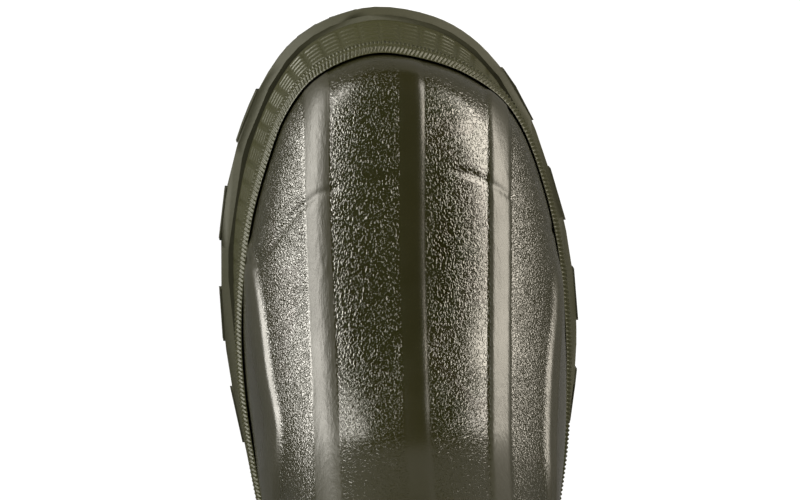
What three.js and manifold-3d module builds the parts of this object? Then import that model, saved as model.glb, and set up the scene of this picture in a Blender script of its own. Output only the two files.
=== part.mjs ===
// An insulated, knee-high, pull-on rubber hunting boot for the right foot.
// Millimetres. +Z is up, +Y points to the toe and +X to the outer side of the foot.
//
// Every layer of the boot is a level of one family of surfaces: a foot with a domed vamp, joined
// smoothly to an oval shaft. field(inset) gives the surface that lies inset mm inside the outer one,
// so that the rubber, the neoprene, the insulation and the lining nest without touching.

import * as THREE from "three";
import { mergeVertices } from "three/addons/utils/BufferGeometryUtils.js";
import Module from "manifold-3d";

const wasm = await Module();
wasm.setup();

// ---------------------------------------------------------------- driving dimensions

const GAP = 0.3; // clearance between pieces that touch
const ORIGIN = [-5.5, 1.7]; // moves the boot so that the origin is under the middle of its bounds

const LAYERS = {
  // inset of each layer's outer and inner face from the outer surface of the boot
  rubber: [0, 1.8],
  stiffener: [2.1, 2.9],
  neoprene: [2.1, 6.0], // with pockets for the stiffeners
  insulation: [6.3, 8.3],
  lining: [8.6, 9.4],
};
const WALL = LAYERS.lining[1];

const LINING_IN_SHAFT = [6.3, 7.1]; // above the insulation the lining lies on the neoprene

const SHAFT_TOP = 432; // height of the shell's rim on the shaft's axis
const COLLAR_TILT = 5; // degrees: the front of the collar is higher than the back
const ANKLE = 158; // height of the joint between the foot shell and the shaft shell

// Plan outlines, clockwise from the toe seen from above.
const SEAM_OUTLINE = [
  [-6, 139.4], [11, 136.4], [23, 131.6], [34, 123.8], [41.3, 113.6], [49, 93], [53.7, 72], [56, 50],
  [56.6, 32], [55.2, 4], [49, -36], [42.5, -80], [39.5, -110], [30, -138], [0, -149.5], [-30, -138],
  [-39, -110], [-37.5, -78], [-41, -40], [-48.6, 0], [-52.3, 28], [-52.8, 52], [-49.4, 82], [-42.8, 106],
  [-38, 118.4], [-29.6, 130], [-17.5, 137],
];
const SOLE_OUTLINE = [
  [-7, 154], [13, 150.5], [26, 143.2], [37.5, 131], [46.8, 115], [54, 95], [59.6, 75], [62.7, 52],
  [63, 30], [58.8, 0], [51.8, -35], [46.5, -75], [44, -105], [39, -132], [26, -149], [0, -155.5],
  [-26, -149], [-38.5, -132], [-43, -105], [-42.5, -72], [-45, -35], [-51.5, 0], [-57.2, 28],
  [-59.4, 52], [-59.4, 76], [-56, 98], [-50.5, 116], [-43.5, 131], [-35, 142.2], [-23.5, 149.8],
];

// Heights along the foot, as [y, z].
const OUTSOLE_TOP = [
  [-156, 33], [-100, 33], [-60, 30], [-20, 22], [20, 16], [60, 14.5], [100, 15.5], [130, 19], [156, 25],
];
const SEAM_HEIGHT = [[-150, 55], [-100, 53], [-50, 47], [0, 40], [40, 36], [80, 35], [120, 37], [144, 40]];
const VAMP_RISE = [
  [-150, 46], [-100, 58], [-60, 74], [-30, 84], [0, 82], [20, 70], [40, 57], [60, 48], [80, 41],
  [100, 35.5], [120, 31], [144, 26],
];
const MIDSOLE = 5; // thickness of the foam midsole
const SHELL_SEAT = MIDSOLE + 2 * GAP; // height of the lasted shell above the outsole
const TOE_ROUND = { from: 60, power: 2.6 };
const HEEL_ROUND = { from: -95, power: 2.8 };

// The shaft by height, as [z, value].
const SHAFT_HALF_WIDTH = [
  [40, 32], [60, 38], [80, 40.5], [110, 45], [150, 47], [200, 50.5], [260, 56], [330, 60.5], [400, 61.5],
  [460, 61.5],
];
const SHAFT_FRONT = [
  [40, -60], [60, -42], [90, -22], [120, -9], [150, -6], [200, -9], [260, -6], [330, 0], [400, 3], [460, 4],
];
const SHAFT_BACK = [
  [40, -137], [60, -146.5], [80, -146], [110, -142], [150, -138], [200, -141], [260, -149], [330, -154],
  [400, -153], [460, -152],
];

// Smooth join of foot and shaft: a wide fillet at the instep and a tight one at the heel, as [y, mm].
const FILLET = [[-150, 2.5], [-100, 3], [-40, 26], [20, 34], [150, 34]];

// ---------------------------------------------------------------- curves

/** A smooth curve through [x, y] pairs, flat beyond both ends. */
function through(table, x) {
  const last = table.length - 1;
  if (x <= table[0][0]) return table[0][1];
  if (x >= table[last][0]) return table[last][1];
  let i = 0;
  while (x > table[i + 1][0]) i++;
  const slope = (a, b) => (table[b][1] - table[a][1]) / (table[b][0] - table[a][0]);
  const step = table[i + 1][0] - table[i][0];
  const t = (x - table[i][0]) / step;
  const m0 = slope(Math.max(i - 1, 0), i + 1) * step;
  const m1 = slope(i, Math.min(i + 2, last)) * step;
  return (
    (2 * t ** 3 - 3 * t ** 2 + 1) * table[i][1] +
    (t ** 3 - 2 * t ** 2 + t) * m0 +
    (3 * t ** 2 - 2 * t ** 3) * table[i + 1][1] +
    (t ** 3 - t ** 2) * m1
  );
}

/** Straight lines through [x, y] pairs. */
function linear(table, x) {
  let low = 0;
  let high = table.length - 1;
  while (high - low > 1) {
    const mid = (low + high) >> 1;
    if (table[mid][0] <= x) low = mid;
    else high = mid;
  }
  const [a, b] = [table[low], table[high]];
  return a[1] + ((b[1] - a[1]) * (x - a[0])) / (b[0] - a[0] || 1);
}

// The sole's heights are straight between these places along the foot.
const STATIONS = [-170, -140, -100, -72, -60, -48, -35, -20, -8, 20, 60, 92, 108, 122, 136, 160];
const alongSole = (table) => STATIONS.map((y) => [y, through(table, y)]);
const TOP_LINE = alongSole(OUTSOLE_TOP);
const outsoleTop = (y) => linear(TOP_LINE, y);

/** A closed smooth outline, as count points [x, y] with outward normals, inset by inset mm. */
function outline(points, count, inset = 0) {
  const curve = new THREE.CatmullRomCurve3(
    points.map(([x, y]) => new THREE.Vector3(x, y, 0)),
    true,
    "centripetal",
  );
  return Array.from({ length: count }, (_, i) => {
    const p = curve.getPoint(i / count);
    const t = curve.getTangent(i / count);
    return { x: p.x + t.y * inset, y: p.y - t.x * inset, nx: -t.y, ny: t.x };
  });
}

/** The outline's inner and outer x by y, so that a foot section at y runs from medial(y) to lateral(y). */
function sides(points, inset) {
  const dense = outline(points, 720, inset);
  const toe = dense.reduce((a, b) => (b.y > a.y ? b : a));
  const heel = dense.reduce((a, b) => (b.y < a.y ? b : a));
  const start = dense.indexOf(toe);
  const end = dense.indexOf(heel);
  const ordered = [...dense.slice(start), ...dense.slice(0, start)];
  const turn = (end - start + dense.length) % dense.length;
  const lateral = ordered.slice(0, turn + 1).reverse().map((p) => [p.y, p.x]);
  const medial = [...ordered.slice(turn), ordered[0]].map((p) => [p.y, p.x]);
  return {
    toe: toe.y,
    heel: heel.y,
    lateral: (y) => linear(lateral, y),
    medial: (y) => linear(medial, y),
  };
}

// ---------------------------------------------------------------- the family of surfaces

const FLAT_BOTTOM = 6; // power of the section below the seam: nearly upright with a small corner
const DOME = 2.35; // power of the section above the seam
const SHAFT_POWER = 2.15;
const MEAN_RADIUS = 45; // turns the powers' ratios into millimetres
const THINNING = [206, 244]; // heights between which the lining steps out to the neoprene

/** A function of x, y, z that is negative inside the surface inset mm within the outer one. */
function field(inset, insetInShaft = inset) {
  const plan = sides(SEAM_OUTLINE, inset);
  const round = (y, end, { from, power }) => {
    const t = (y - from) / (end - from);
    return t <= 0 ? 1 : Math.max(1 - t ** power, 1e-9) ** (1 / power);
  };
  const foot = (x, y, z) => {
    if (y >= plan.toe || y <= plan.heel) return 1;
    const lateral = plan.lateral(y);
    const medial = plan.medial(y);
    const across = Math.abs(x - (lateral + medial) / 2) / Math.max((lateral - medial) / 2, 0.01);
    const seam = through(SEAM_HEIGHT, y);
    if (z < seam) {
      const depth = seam - (outsoleTop(y) + SHELL_SEAT + inset);
      const down = (seam - z) / Math.max(depth, 0.5);
      return (across ** FLAT_BOTTOM + down ** FLAT_BOTTOM) ** (1 / FLAT_BOTTOM) - 1;
    }
    const rise =
      (through(VAMP_RISE, y) - inset) *
      round(y, plan.toe, TOE_ROUND) *
      round(-y, -plan.heel, { from: -HEEL_ROUND.from, power: HEEL_ROUND.power });
    const up = (z - seam) / Math.max(rise, 0.01);
    return (across ** DOME + up ** DOME) ** (1 / DOME) - 1;
  };
  const shaft = (x, y, z) => {
    const t = THREE.MathUtils.smoothstep(z, ...THINNING);
    const depth = inset + (insetInShaft - inset) * t;
    const front = through(SHAFT_FRONT, z) - depth;
    const back = through(SHAFT_BACK, z) + depth;
    const across = Math.abs(x) / (through(SHAFT_HALF_WIDTH, z) - depth);
    const along = Math.abs(y - (front + back) / 2) / ((front - back) / 2);
    const below = z < 40 ? (40 - z) / 10 : 0;
    return (across ** SHAFT_POWER + along ** SHAFT_POWER) ** (1 / SHAFT_POWER) - 1 + below;
  };
  return (x, y, z) => {
    const a = foot(x, y, z) * MEAN_RADIUS;
    const b = shaft(x, y, z) * MEAN_RADIUS;
    const k = through(FILLET, y);
    const h = Math.min(Math.max(0.5 + (b - a) / (2 * k), 0), 1);
    return b + (a - b) * h - k * h * (1 - h);
  };
}

/** The point where a ray from inside the surface leaves it. */
function hit(inside, origin, direction, reach = 240) {
  let near = 0;
  let far = reach;
  for (let i = 0; i < 34; i++) {
    const mid = (near + far) / 2;
    const p = direction.clone().multiplyScalar(mid).add(origin);
    if (inside(p.x, p.y, p.z) < 0) near = mid;
    else far = mid;
  }
  return direction.clone().multiplyScalar(near).add(origin);
}

// ---------------------------------------------------------------- rings around the boot

const TOE_CENTRE = new THREE.Vector3(-4, 100, 43); // the toe cap's rings fan out from here
const PIVOT = { y: 30, z: 158 }; // the instep's rings turn about this line in front of the ankle
const SPINE_RADIUS = 108; // from the pivot to the boot's middle line
const SHAFT_AXIS = PIVOT.y - SPINE_RADIUS;
const AROUND = 24; // points in each ring
const rad = THREE.MathUtils.degToRad;

const vector = (x, y, z) => new THREE.Vector3(x, y, z);

// Each ring lies in a plane, or on a cone at the toe: an origin, the way to the front, the cone's angle.
const toePlane = (cap) => ({ o: TOE_CENTRE, front: vector(0, 0, 1), cap: rad(cap) });
const vampPlane = (y) => ({
  o: vector((TOE_CENTRE.x * (y - PIVOT.y)) / (TOE_CENTRE.y - PIVOT.y), y, TOE_CENTRE.z),
  front: vector(0, 0, 1),
});
function anklePlane(turn) {
  const s = Math.sin(rad(turn));
  const c = Math.cos(rad(turn));
  return { o: vector(0, PIVOT.y - s * SPINE_RADIUS, PIVOT.z - c * SPINE_RADIUS), front: vector(0, s, c) };
}
function shaftPlane(z) {
  const tilt = rad((COLLAR_TILT * (z - ANKLE)) / (SHAFT_TOP - ANKLE));
  return { o: vector(0, SHAFT_AXIS, z), front: vector(0, Math.cos(tilt), Math.sin(tilt)) };
}

const TOE_PLANES = [22, 44, 66].map(toePlane);
const VAMP_PLANES = [100, 84, 68, 50].map(vampPlane);
const ANKLE_PLANES = [0, 14, 28, 40, 50, 60, 67, 75, 83, 90].map(anklePlane);
const SHAFT_PLANES = [172, 205, 245, 290, 340, 390, SHAFT_TOP].map(shaftPlane);
const FOOT_PLANES = [...TOE_PLANES, ...VAMP_PLANES, ...ANKLE_PLANES];

/** The point where the surface meets a ring's plane, turn radians from the front round the outer side. */
function onRing(inside, plane, turn) {
  const d = plane.front.clone().multiplyScalar(Math.cos(turn));
  d.x += Math.sin(turn);
  if (plane.cap !== undefined) {
    d.multiplyScalar(Math.sin(plane.cap));
    d.y += Math.cos(plane.cap);
  }
  return hit(inside, plane.o, d.normalize());
}

/** One ring of the surface, from the front round the outer side. */
function ring(inside, plane) {
  return Array.from({ length: AROUND }, (_, i) => onRing(inside, plane, (i / AROUND) * 2 * Math.PI));
}

// ---------------------------------------------------------------- solids

/** A closed mesh from a list of points and triangles, as a manifold solid. */
function solid(points, triangles) {
  const made = new wasm.Manifold(
    new wasm.Mesh({
      numProp: 3,
      vertProperties: new Float32Array(points.flatMap((p) => [p.x, p.y, p.z])),
      triVerts: new Uint32Array(triangles.flat()),
    }),
  );
  if (made.volume() > 0) return made;
  return solid(points, triangles.map(([a, b, c]) => [a, c, b]));
}

/** A three.js geometry as a manifold solid. */
function solidOf(geometry) {
  const bare = geometry.clone();
  bare.deleteAttribute("normal");
  bare.deleteAttribute("uv");
  const merged = mergeVertices(bare, 1e-4);
  return new wasm.Manifold(
    new wasm.Mesh({
      numProp: 3,
      vertProperties: new Float32Array(merged.attributes.position.array),
      triVerts: new Uint32Array(merged.index.array),
    }),
  );
}

/** A manifold solid as a three.js geometry. */
function geometryOf(made) {
  const mesh = made.getMesh();
  const position = new Float32Array(mesh.numVert * 3);
  for (let i = 0; i < mesh.numVert; i++)
    position.set(mesh.vertProperties.subarray(i * mesh.numProp, i * mesh.numProp + 3), i * 3);
  const geometry = new THREE.BufferGeometry();
  geometry.setAttribute("position", new THREE.BufferAttribute(position, 3));
  geometry.setIndex(new THREE.BufferAttribute(new Uint32Array(mesh.triVerts), 1));
  return geometry;
}

/** Triangles of the band between ring a and ring b, given the index of each ring's first point. */
function band(a, b, count, closed = true) {
  const made = [];
  for (let i = 0; i < (closed ? count : count - 1); i++) {
    const j = (i + 1) % count;
    made.push([a + i, a + j, b + j], [a + i, b + j, b + i]);
  }
  return made;
}

/** A solid whose closed section runs along a closed loop: sections[i] is the section at station i. */
function hoop(sections) {
  const size = sections[0].length;
  const points = sections.flat();
  const triangles = sections.flatMap((_, i) => band(i * size, ((i + 1) % sections.length) * size, size));
  return solid(points, triangles);
}

/** A solid whose section runs from one end to the other, with flat ends. */
function bar(sections) {
  const size = sections[0].length;
  const last = (sections.length - 1) * size;
  const triangles = sections.slice(1).flatMap((_, i) => band(i * size, (i + 1) * size, size));
  for (let i = 1; i < size - 1; i++) triangles.push([0, i + 1, i], [last, last + i, last + i + 1]);
  return solid(sections.flat(), triangles);
}

/** The toe's point and the rings of one surface; the last ring may be drawn back by trim mm. */
function skin(inset, planes, { shaftInset = inset, trim = 0 } = {}) {
  const inside = field(inset, shaftInset);
  const toe = hit(inside, TOE_CENTRE, vector(0, 1, 0));
  const rings = planes.map((p) => ring(inside, p));
  const last = rings.length - 1;
  rings[last].forEach((p, i) => drawBack(p, rings[last - 1][i], trim));
  return [toe, ...rings.flat()];
}

/** Moves a point by a distance toward another. */
function drawBack(p, toward, distance) {
  p.addScaledVector(toward.clone().sub(p).normalize(), distance);
}

/** The triangles of a skin, whose first point has the index first. */
function skinTriangles(first, planes) {
  const made = [];
  for (let i = 0; i < AROUND; i++) made.push([first, first + 1 + ((i + 1) % AROUND), first + 1 + i]);
  for (let k = 0; k + 1 < planes.length; k++) {
    const a = first + 1 + k * AROUND;
    made.push(...band(a, a + AROUND, AROUND));
  }
  return made;
}

const turned = (triangles) => triangles.map(([a, b, c]) => [a, c, b]);

/** A solid that fills the surface from the toe to the last of the planes. */
function filled(inset, planes) {
  const points = skin(inset, planes);
  const rim = points.slice(-AROUND);
  points.push(rim.reduce((a, b) => a.clone().add(b), vector(0, 0, 0)).divideScalar(AROUND));
  const top = points.length - 1;
  const triangles = skinTriangles(0, planes);
  for (let i = 0; i < AROUND; i++) triangles.push([top, top - AROUND + i, top - AROUND + ((i + 1) % AROUND)]);
  return solid(points, triangles);
}

/** A sock between two insets, open at its top, whose rim lies in the last plane. */
function sock([outer, inner], planes, { shaft = [outer, inner], trim = 0 } = {}) {
  const out = skin(outer, planes, { shaftInset: shaft[0], trim });
  const within = skin(inner, planes, { shaftInset: shaft[1], trim });
  const count = out.length;
  const triangles = [...skinTriangles(0, planes), ...turned(skinTriangles(count, planes))];
  triangles.push(...band(count - AROUND, 2 * count - AROUND, AROUND));
  return solid([...out, ...within], triangles);
}

/** A tube between two insets, open at both ends. */
function sleeve([outer, inner], planes) {
  const sheet = (inset) => planes.flatMap((p) => ring(field(inset), p));
  const count = planes.length * AROUND;
  const top = count - AROUND;
  const triangles = [...band(count, 0, AROUND), ...band(top, count + top, AROUND)];
  for (let a = 0; a < top; a += AROUND) {
    triangles.push(...band(a, a + AROUND, AROUND));
    triangles.push(...turned(band(count + a, count + a + AROUND, AROUND)));
  }
  return solid([...sheet(outer), ...sheet(inner)], triangles);
}

/** A closed ring of rubber whose section is a list of [inset, plane]. */
function collar(section) {
  return hoop(section.map(([inset, plane]) => ring(field(inset), plane)));
}

/** A block through closed rings with the same number of points, from the lowest ring to the highest. */
function stack(rings) {
  const count = rings[0].length;
  const plan = rings[0].map((p) => new THREE.Vector2(p.x, p.y));
  const cap = THREE.ShapeUtils.triangulateShape(plan, []);
  const walls = rings.slice(1).flatMap((_, i) => band(i * count, (i + 1) * count, count));
  const sides = THREE.ShapeUtils.isClockWise(plan) ? turned(walls) : walls;
  const raised = cap.map((t) => t.map((i) => i + (rings.length - 1) * count));
  return solid(rings.flat(), [...sides, ...raised, ...turned(cap)]);
}

/** A small block with the plan of a closed line of points, between two heights that vary along the foot. */
function slab(plan, bottom, top) {
  const at = (height) => plan.map((p) => vector(p.x, p.y, height(p.y)));
  return stack([at(bottom), at(top)]);
}

/** A wide block between two heights along the foot, to cut layers out of other solids. */
function course(bottom, top) {
  const sections = STATIONS.map((y) => [
    vector(-80, y, bottom(y)),
    vector(80, y, bottom(y)),
    vector(80, y, top(y)),
    vector(-80, y, top(y)),
  ]);
  return bar(sections);
}

/** A plate with the plan of a closed line of points that follows two heights along the foot. */
function plate(plan, bottom, top) {
  return slab(plan, () => -10, () => 90).intersect(course(bottom, top));
}

const box = (x, y, z, at) => solidOf(new THREE.BoxGeometry(x, y, z).translate(...at));

// ---------------------------------------------------------------- the bottom of the boot

const seamHeight = (y) => through(SEAM_HEIGHT, y);
const SOLE_BOTTOM = [
  [-156, 11], [-140, 8], [-72, 8], [-60, 13], [-38, 14], [-20, 9], [-8, 8], [92, 8], [120, 11], [145, 16],
  [156, 20],
];
const soleBottom = (y) => linear(SOLE_BOTTOM, y);
const LUG = 8; // height of the lugs below the sole
const LIP = 4.2; // how far the outsole stands out beyond the foxing band
const RIM_EDGE = 2.4; // width of the slope round the outsole's upper edge
const RIM_POINTS = 120;
const PANEL_RISE = 0.7; // how far the side panels stand out of the outsole's wall
const FOXING_STATIONS = 72;
const FOXING_TOP_THICKNESS = 1.9;
const TRIM_AT = 0.74; // the trim strip's lower edge, as a part of the foxing's height

/** How far it is from a point, along a direction, to a closed line of points. */
function reach(line, p, nx, ny) {
  let nearest = Infinity;
  line.forEach((a, i) => {
    const b = line[(i + 1) % line.length];
    const ex = b.x - a.x;
    const ey = b.y - a.y;
    const det = ex * ny - ey * nx;
    const t = (ex * (a.y - p.y) - ey * (a.x - p.x)) / det;
    const u = (nx * (a.y - p.y) - ny * (a.x - p.x)) / det;
    if (u >= 0 && u < 1 && t > 0) nearest = Math.min(nearest, t);
  });
  return nearest;
}

/** The foxing's stations round the foot: where its seam is, the way out and its thickness at the sole. */
function foxingStations() {
  const sole = outline(SOLE_OUTLINE, 360);
  return outline(SEAM_OUTLINE, FOXING_STATIONS).map((p) => ({
    ...p,
    foot: Math.max(reach(sole, p, p.nx, p.ny) - LIP, FOXING_TOP_THICKNESS),
  }));
}

/** A point of the foxing's outer face: rise is 0 at the outsole and 1 at the seam. */
function onFoxing(s, rise, out = 0) {
  const thickness = s.foot + (FOXING_TOP_THICKNESS - s.foot) * rise + out;
  const y = s.y + s.ny * thickness;
  const low = outsoleTop(y) + GAP;
  return vector(s.x + s.nx * thickness, y, low + (seamHeight(s.y) - low) * rise);
}

/** A section of the foxing between two rises, out mm thicker than its face, with a chamfer at the top. */
function foxingSection(s, from, to, out, edge) {
  const inner = (rise) => onFoxing({ ...s, foot: 0 }, rise, 0.8 - FOXING_TOP_THICKNESS * rise);
  return [
    inner(from),
    onFoxing(s, from, out),
    onFoxing(s, to - edge, out),
    onFoxing(s, to, out - 0.6),
    inner(to),
  ];
}

const foxingBand = () => hoop(foxingStations().map((s) => foxingSection(s, 0, TRIM_AT - 0.03, 0, 0.03)));
const trimStrip = () => hoop(foxingStations().map((s) => foxingSection(s, TRIM_AT, 1, 0.5, 0.05)));

/** The shelf across the back of the heel that holds the boot while the foot is pulled out. */
function kickOffLedge() {
  const all = foxingStations();
  const back = all.filter((s) => s.y < -118).sort((a, b) => a.x - b.x);
  return bar(
    back.map((s) => {
      const out = 7.5 * Math.sqrt(Math.max(0, 1 - (s.x / 38) ** 2)) + 0.8;
      return [[0.3, 0], [0.42, out / 2], [0.62, out], [0.7, out], [0.7, 0]].map(([rise, d]) =>
        onFoxing(s, rise, GAP + d),
      );
    }),
  );
}

/** A lug under the sole with the plan of some points. */
function lug(plan) {
  return slab(plan, (y) => soleBottom(y) - LUG, (y) => soleBottom(y) + 2);
}

/** Raised panels on the sole's side wall. */
function sidePanels() {
  const wall = sides(SOLE_OUTLINE, 0);
  const panel = (x, out, start) => {
    const ys = [0, 6, 12, 18].map((d) => start - d);
    const edge = (d) => ys.map((y) => ({ x: x(y) + out * d, y }));
    const plan = [...edge(PANEL_RISE), ...edge(-6).reverse()];
    return slab(plan, (y) => soleBottom(y) - 3, (y) => outsoleTop(y) - RIM_EDGE);
  };
  return [
    ...[125, 91, 56, 21].map((y) => panel(wall.medial, -1, y)),
    ...[132, 97, 62, 27].map((y) => panel(wall.lateral, 1, y)),
  ];
}

/** The lugs round the sole's edge. */
function edgeLugs() {
  const count = 64;
  const rim = outline(SOLE_OUTLINE, count * 4);
  const made = [];
  for (let k = 0; k < count; k += 2) {
    const [a, b] = [rim[k * 4], rim[k * 4 + 5]];
    if (a.y < -34 && a.y > -62) continue;
    const corners = [[a, -0.8], [b, -0.8], [b, -15], [a, -15]];
    made.push(lug(corners.map(([p, d]) => ({ x: p.x + p.nx * d, y: p.y + p.ny * d }))));
  }
  return made;
}

/** The middle lugs: a file of chevrons under the forefoot and of bars under the heel. */
function middleLugs() {
  const made = [];
  const add = (corners) => made.push(lug(corners.map(([x, y]) => ({ x, y }))));
  for (let y = -8; y <= 108; y += 16.5) {
    const half = 30 - Math.max(0, y - 60) * 0.18;
    add([[-half, y - 5], [0, y + 3], [half, y - 5], [half, y + 3], [0, y + 11], [-half, y + 3]]);
  }
  for (const y of [-128, -112, -96, -80]) {
    const half = y < -120 ? 15 : 20;
    add([[-half, y - 4], [half, y - 4], [half, y + 4], [-half, y + 4]]);
  }
  return made;
}

/** A tall block that narrows over the sole's rim, to take the plate's upper edge off at 45 degrees. */
function rimBlock() {
  const at = (inset, z) => outline(SOLE_OUTLINE, RIM_POINTS, inset).map((p) => vector(p.x, p.y, z(p.y)));
  const low = at(-1, (y) => outsoleTop(y) - RIM_EDGE - 1);
  const high = at(RIM_EDGE + 1, (y) => outsoleTop(y) + 1);
  return stack([at(-1, () => -20), low, high, at(RIM_EDGE + 1, () => 80)]);
}

function outsole() {
  const base = plate(outline(SOLE_OUTLINE, RIM_POINTS), soleBottom, outsoleTop).intersect(rimBlock());
  return [...edgeLugs(), ...middleLugs(), ...sidePanels()].reduce((all, one) => all.add(one), base);
}

const SHANK = { from: -72, to: -8, half: 8, thickness: 1.6 };

function shankBar(grow, low, high) {
  const { from, to, half } = SHANK;
  const plan = [
    { x: -half - grow, y: from - grow },
    { x: half + grow, y: from - grow },
    { x: half + grow, y: to + grow },
    { x: -half - grow, y: to + grow },
  ];
  return plate(plan, (y) => outsoleTop(y) + low, (y) => outsoleTop(y) + high);
}

/** The midsole: a foam cup under the lasted boot, with a slot for the shank in its underside. */
function midsole() {
  const plan = outline(SEAM_OUTLINE, 48, 0.4);
  const block = plate(plan, (y) => outsoleTop(y) + GAP, (y) => outsoleTop(y) + MIDSOLE + 5);
  return block.subtract(filled(-GAP, FOOT_PLANES)).subtract(shankBar(GAP, -2, SHANK.thickness + 3 * GAP));
}

/** One layer of the footbed, low to high mm above the lining's floor. */
function bedLayer(low, high) {
  const floor = (y) => outsoleTop(y) + SHELL_SEAT + WALL;
  return filled(WALL + GAP, FOOT_PLANES).intersect(course((y) => floor(y) + low, (y) => floor(y) + high));
}

// ---------------------------------------------------------------- the ribbed foot shell

// Ribs run along the vamp from the toe to the instep. Each is given as [y, x] of its middle line.
const RIBS = [
  { width: 7, height: 1.2, path: [[-20, -24.5], [6, -24.9], [57, -26.3], [90, -27.8], [124, -29.4]] },
  { width: 6, height: 1.2, path: [[-20, 33], [6, 33.1], [57, 33.7], [124, 32.7]] },
  { width: 9, height: 0.7, path: [[-20, 4.5], [57, 4], [124, 3]] },
  { width: 5, height: 1.2, path: [[-20, -41], [6, -41.4], [30, -44.7], [57, -47.8]], end: 50 },
  { width: 5, height: 1.2, path: [[-20, 48.5], [11, 49], [35, 50.5], [57, 51.9]], end: 50 },
];
const RIB_STATIONS = [
  ...[122, 108, 92, 76, 60, 45].map(vampPlane),
  ...[0, 8, 16, 24, 32, 40, 50, 60, 68].map(anklePlane),
];

/** The point of the surface in a ring's plane that lies x mm from the boot's middle, on its upper side. */
function aboveX(inside, plane, x) {
  let low = -1.6;
  let high = 1.6;
  for (let i = 0; i < 24; i++) {
    const mid = (low + high) / 2;
    if (onRing(inside, plane, mid).x < x) low = mid;
    else high = mid;
  }
  return onRing(inside, plane, low);
}

function rib({ width, height, path, end = 200 }) {
  const top = field(-height);
  const root = field(2.4);
  const planes = RIB_STATIONS.filter((p) => p.o.y <= end);
  return bar(
    planes.map((plane) => {
      const x = through(path, aboveX(field(0), plane, 0).y);
      const half = width / 2;
      return [
        aboveX(root, plane, x - half),
        aboveX(root, plane, x + half),
        aboveX(top, plane, x + half - 0.9),
        aboveX(top, plane, x - half + 0.9),
      ];
    }),
  );
}

function footShell() {
  const ribs = RIBS.map(rib).reduce((all, one) => all.add(one));
  return sock(LAYERS.rubber, FOOT_PLANES).add(ribs.subtract(filled(1.2, FOOT_PLANES)));
}

// ---------------------------------------------------------------- layers inside the boot

const UPPER_PLANES = [...FOOT_PLANES, ...SHAFT_PLANES];
const TOE_PUFF_PLANES = FOOT_PLANES.slice(0, 4);
const HEEL_PLANES = ANKLE_PLANES.slice(2, 9);
const COUNTER_PROFILE = [[-165, 66], [-70, 60], [-66, 78], [-80, 98], [-104, 108], [-165, 114]];
const POCKET = [LAYERS.rubber[1] - 0.6, LAYERS.stiffener[1] + GAP];

/** The part of a cap of the toe that lies above the turned-under edge. */
function toeCap(insets, edge, trim) {
  return sock(insets, TOE_PUFF_PLANES, { trim }).intersect(box(200, 200, 100, [0, 100, 50 + edge]));
}

const toePuff = () => toeCap(LAYERS.stiffener, 30, 0.6);

/** The part of the wall behind the instep that a profile of [y, z] points covers when seen from the side. */
function heelPart(insets, profile, grow = 0) {
  const middle = [0, 1].map((k) => profile.reduce((sum, p) => sum + p[k], 0) / profile.length);
  const grown = profile.map((p) => p.map((v, k) => v + Math.sign(v - middle[k]) * grow));
  const at = (x) => grown.map(([y, z]) => vector(x, y, z));
  return sleeve(insets, HEEL_PLANES).intersect(bar([at(-90), at(90)]));
}

const heelCounter = () => heelPart(LAYERS.stiffener, COUNTER_PROFILE);

function neopreneBootie() {
  const bootie = sock(LAYERS.neoprene, UPPER_PLANES)
    .subtract(toeCap(POCKET, 29.6, 0))
    .subtract(heelPart(POCKET, COUNTER_PROFILE, 0.5));
  return RIVETS.map(rivetTailRoom).reduce((all, one) => all.subtract(one), bootie);
}

const insulation = () => sock(LAYERS.insulation, [...FOOT_PLANES, ...SHAFT_PLANES.slice(0, 2)]);
const lining = () => sock(LAYERS.lining, UPPER_PLANES, { shaft: LINING_IN_SHAFT });

// ---------------------------------------------------------------- the shaft

const JOINT_PLANE = shaftPlane(ANKLE + GAP);
const OVERLAY = [-1.5, -GAP];

/** The oval section of the shaft: turn is in degrees from the front round the outer side. */
function calf(turn, z, out = 0) {
  const front = through(SHAFT_FRONT, z) + out;
  const back = through(SHAFT_BACK, z) - out;
  const c = Math.cos(rad(turn));
  const s = Math.sin(rad(turn));
  const across = Math.abs(s) / (through(SHAFT_HALF_WIDTH, z) + out);
  const along = Math.abs(c) / ((front - back) / 2);
  const radius = (across ** SHAFT_POWER + along ** SHAFT_POWER) ** (-1 / SHAFT_POWER);
  return vector(s * radius, (front + back) / 2 + c * radius, z);
}

/** A flat frame on the shaft: t runs forward round the shaft, n outward and z up. */
function seat(turn, z) {
  const o = calf(turn, z);
  const t = calf(turn - 1, z).sub(calf(turn + 1, z)).normalize();
  const n = vector(-t.y, t.x, 0).multiplyScalar(-1);
  if (n.dot(o.clone().sub(vector(0, SHAFT_AXIS, z))) < 0) n.negate();
  const at = (a, b, c) => o.clone().addScaledVector(t, a).addScaledVector(n, b).add(vector(0, 0, c));
  return { o, t, n, at };
}

/** Moves a three.js geometry made with t, n and z as its axes onto a seat. */
function onSeat(s, geometry) {
  const matrix = new THREE.Matrix4().makeBasis(s.t, s.n, vector(0, 0, 1)).setPosition(s.o);
  const made = geometry.clone().applyMatrix4(matrix);
  if (matrix.determinant() < 0) made.index.array.reverse();
  return solidOf(made);
}

const seatBox = (s, t, n, z) =>
  onSeat(
    s,
    new THREE.BoxGeometry(t[1] - t[0], n[1] - n[0], z[1] - z[0]).translate(
      (t[0] + t[1]) / 2,
      (n[0] + n[1]) / 2,
      (z[0] + z[1]) / 2,
    ),
  );

/** A round bar along z between two heights, its axis t forward and n out from the seat. */
const seatRod = (s, radius, t, n, z, sides = 16) =>
  onSeat(
    s,
    new THREE.CylinderGeometry(radius, radius, z[1] - z[0], sides)
      .rotateX(Math.PI / 2)
      .translate(t, n, (z[0] + z[1]) / 2),
  );

const GUSSET = { turn: 118, bottom: 342, foot: 4, mouth: 13 };

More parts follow.
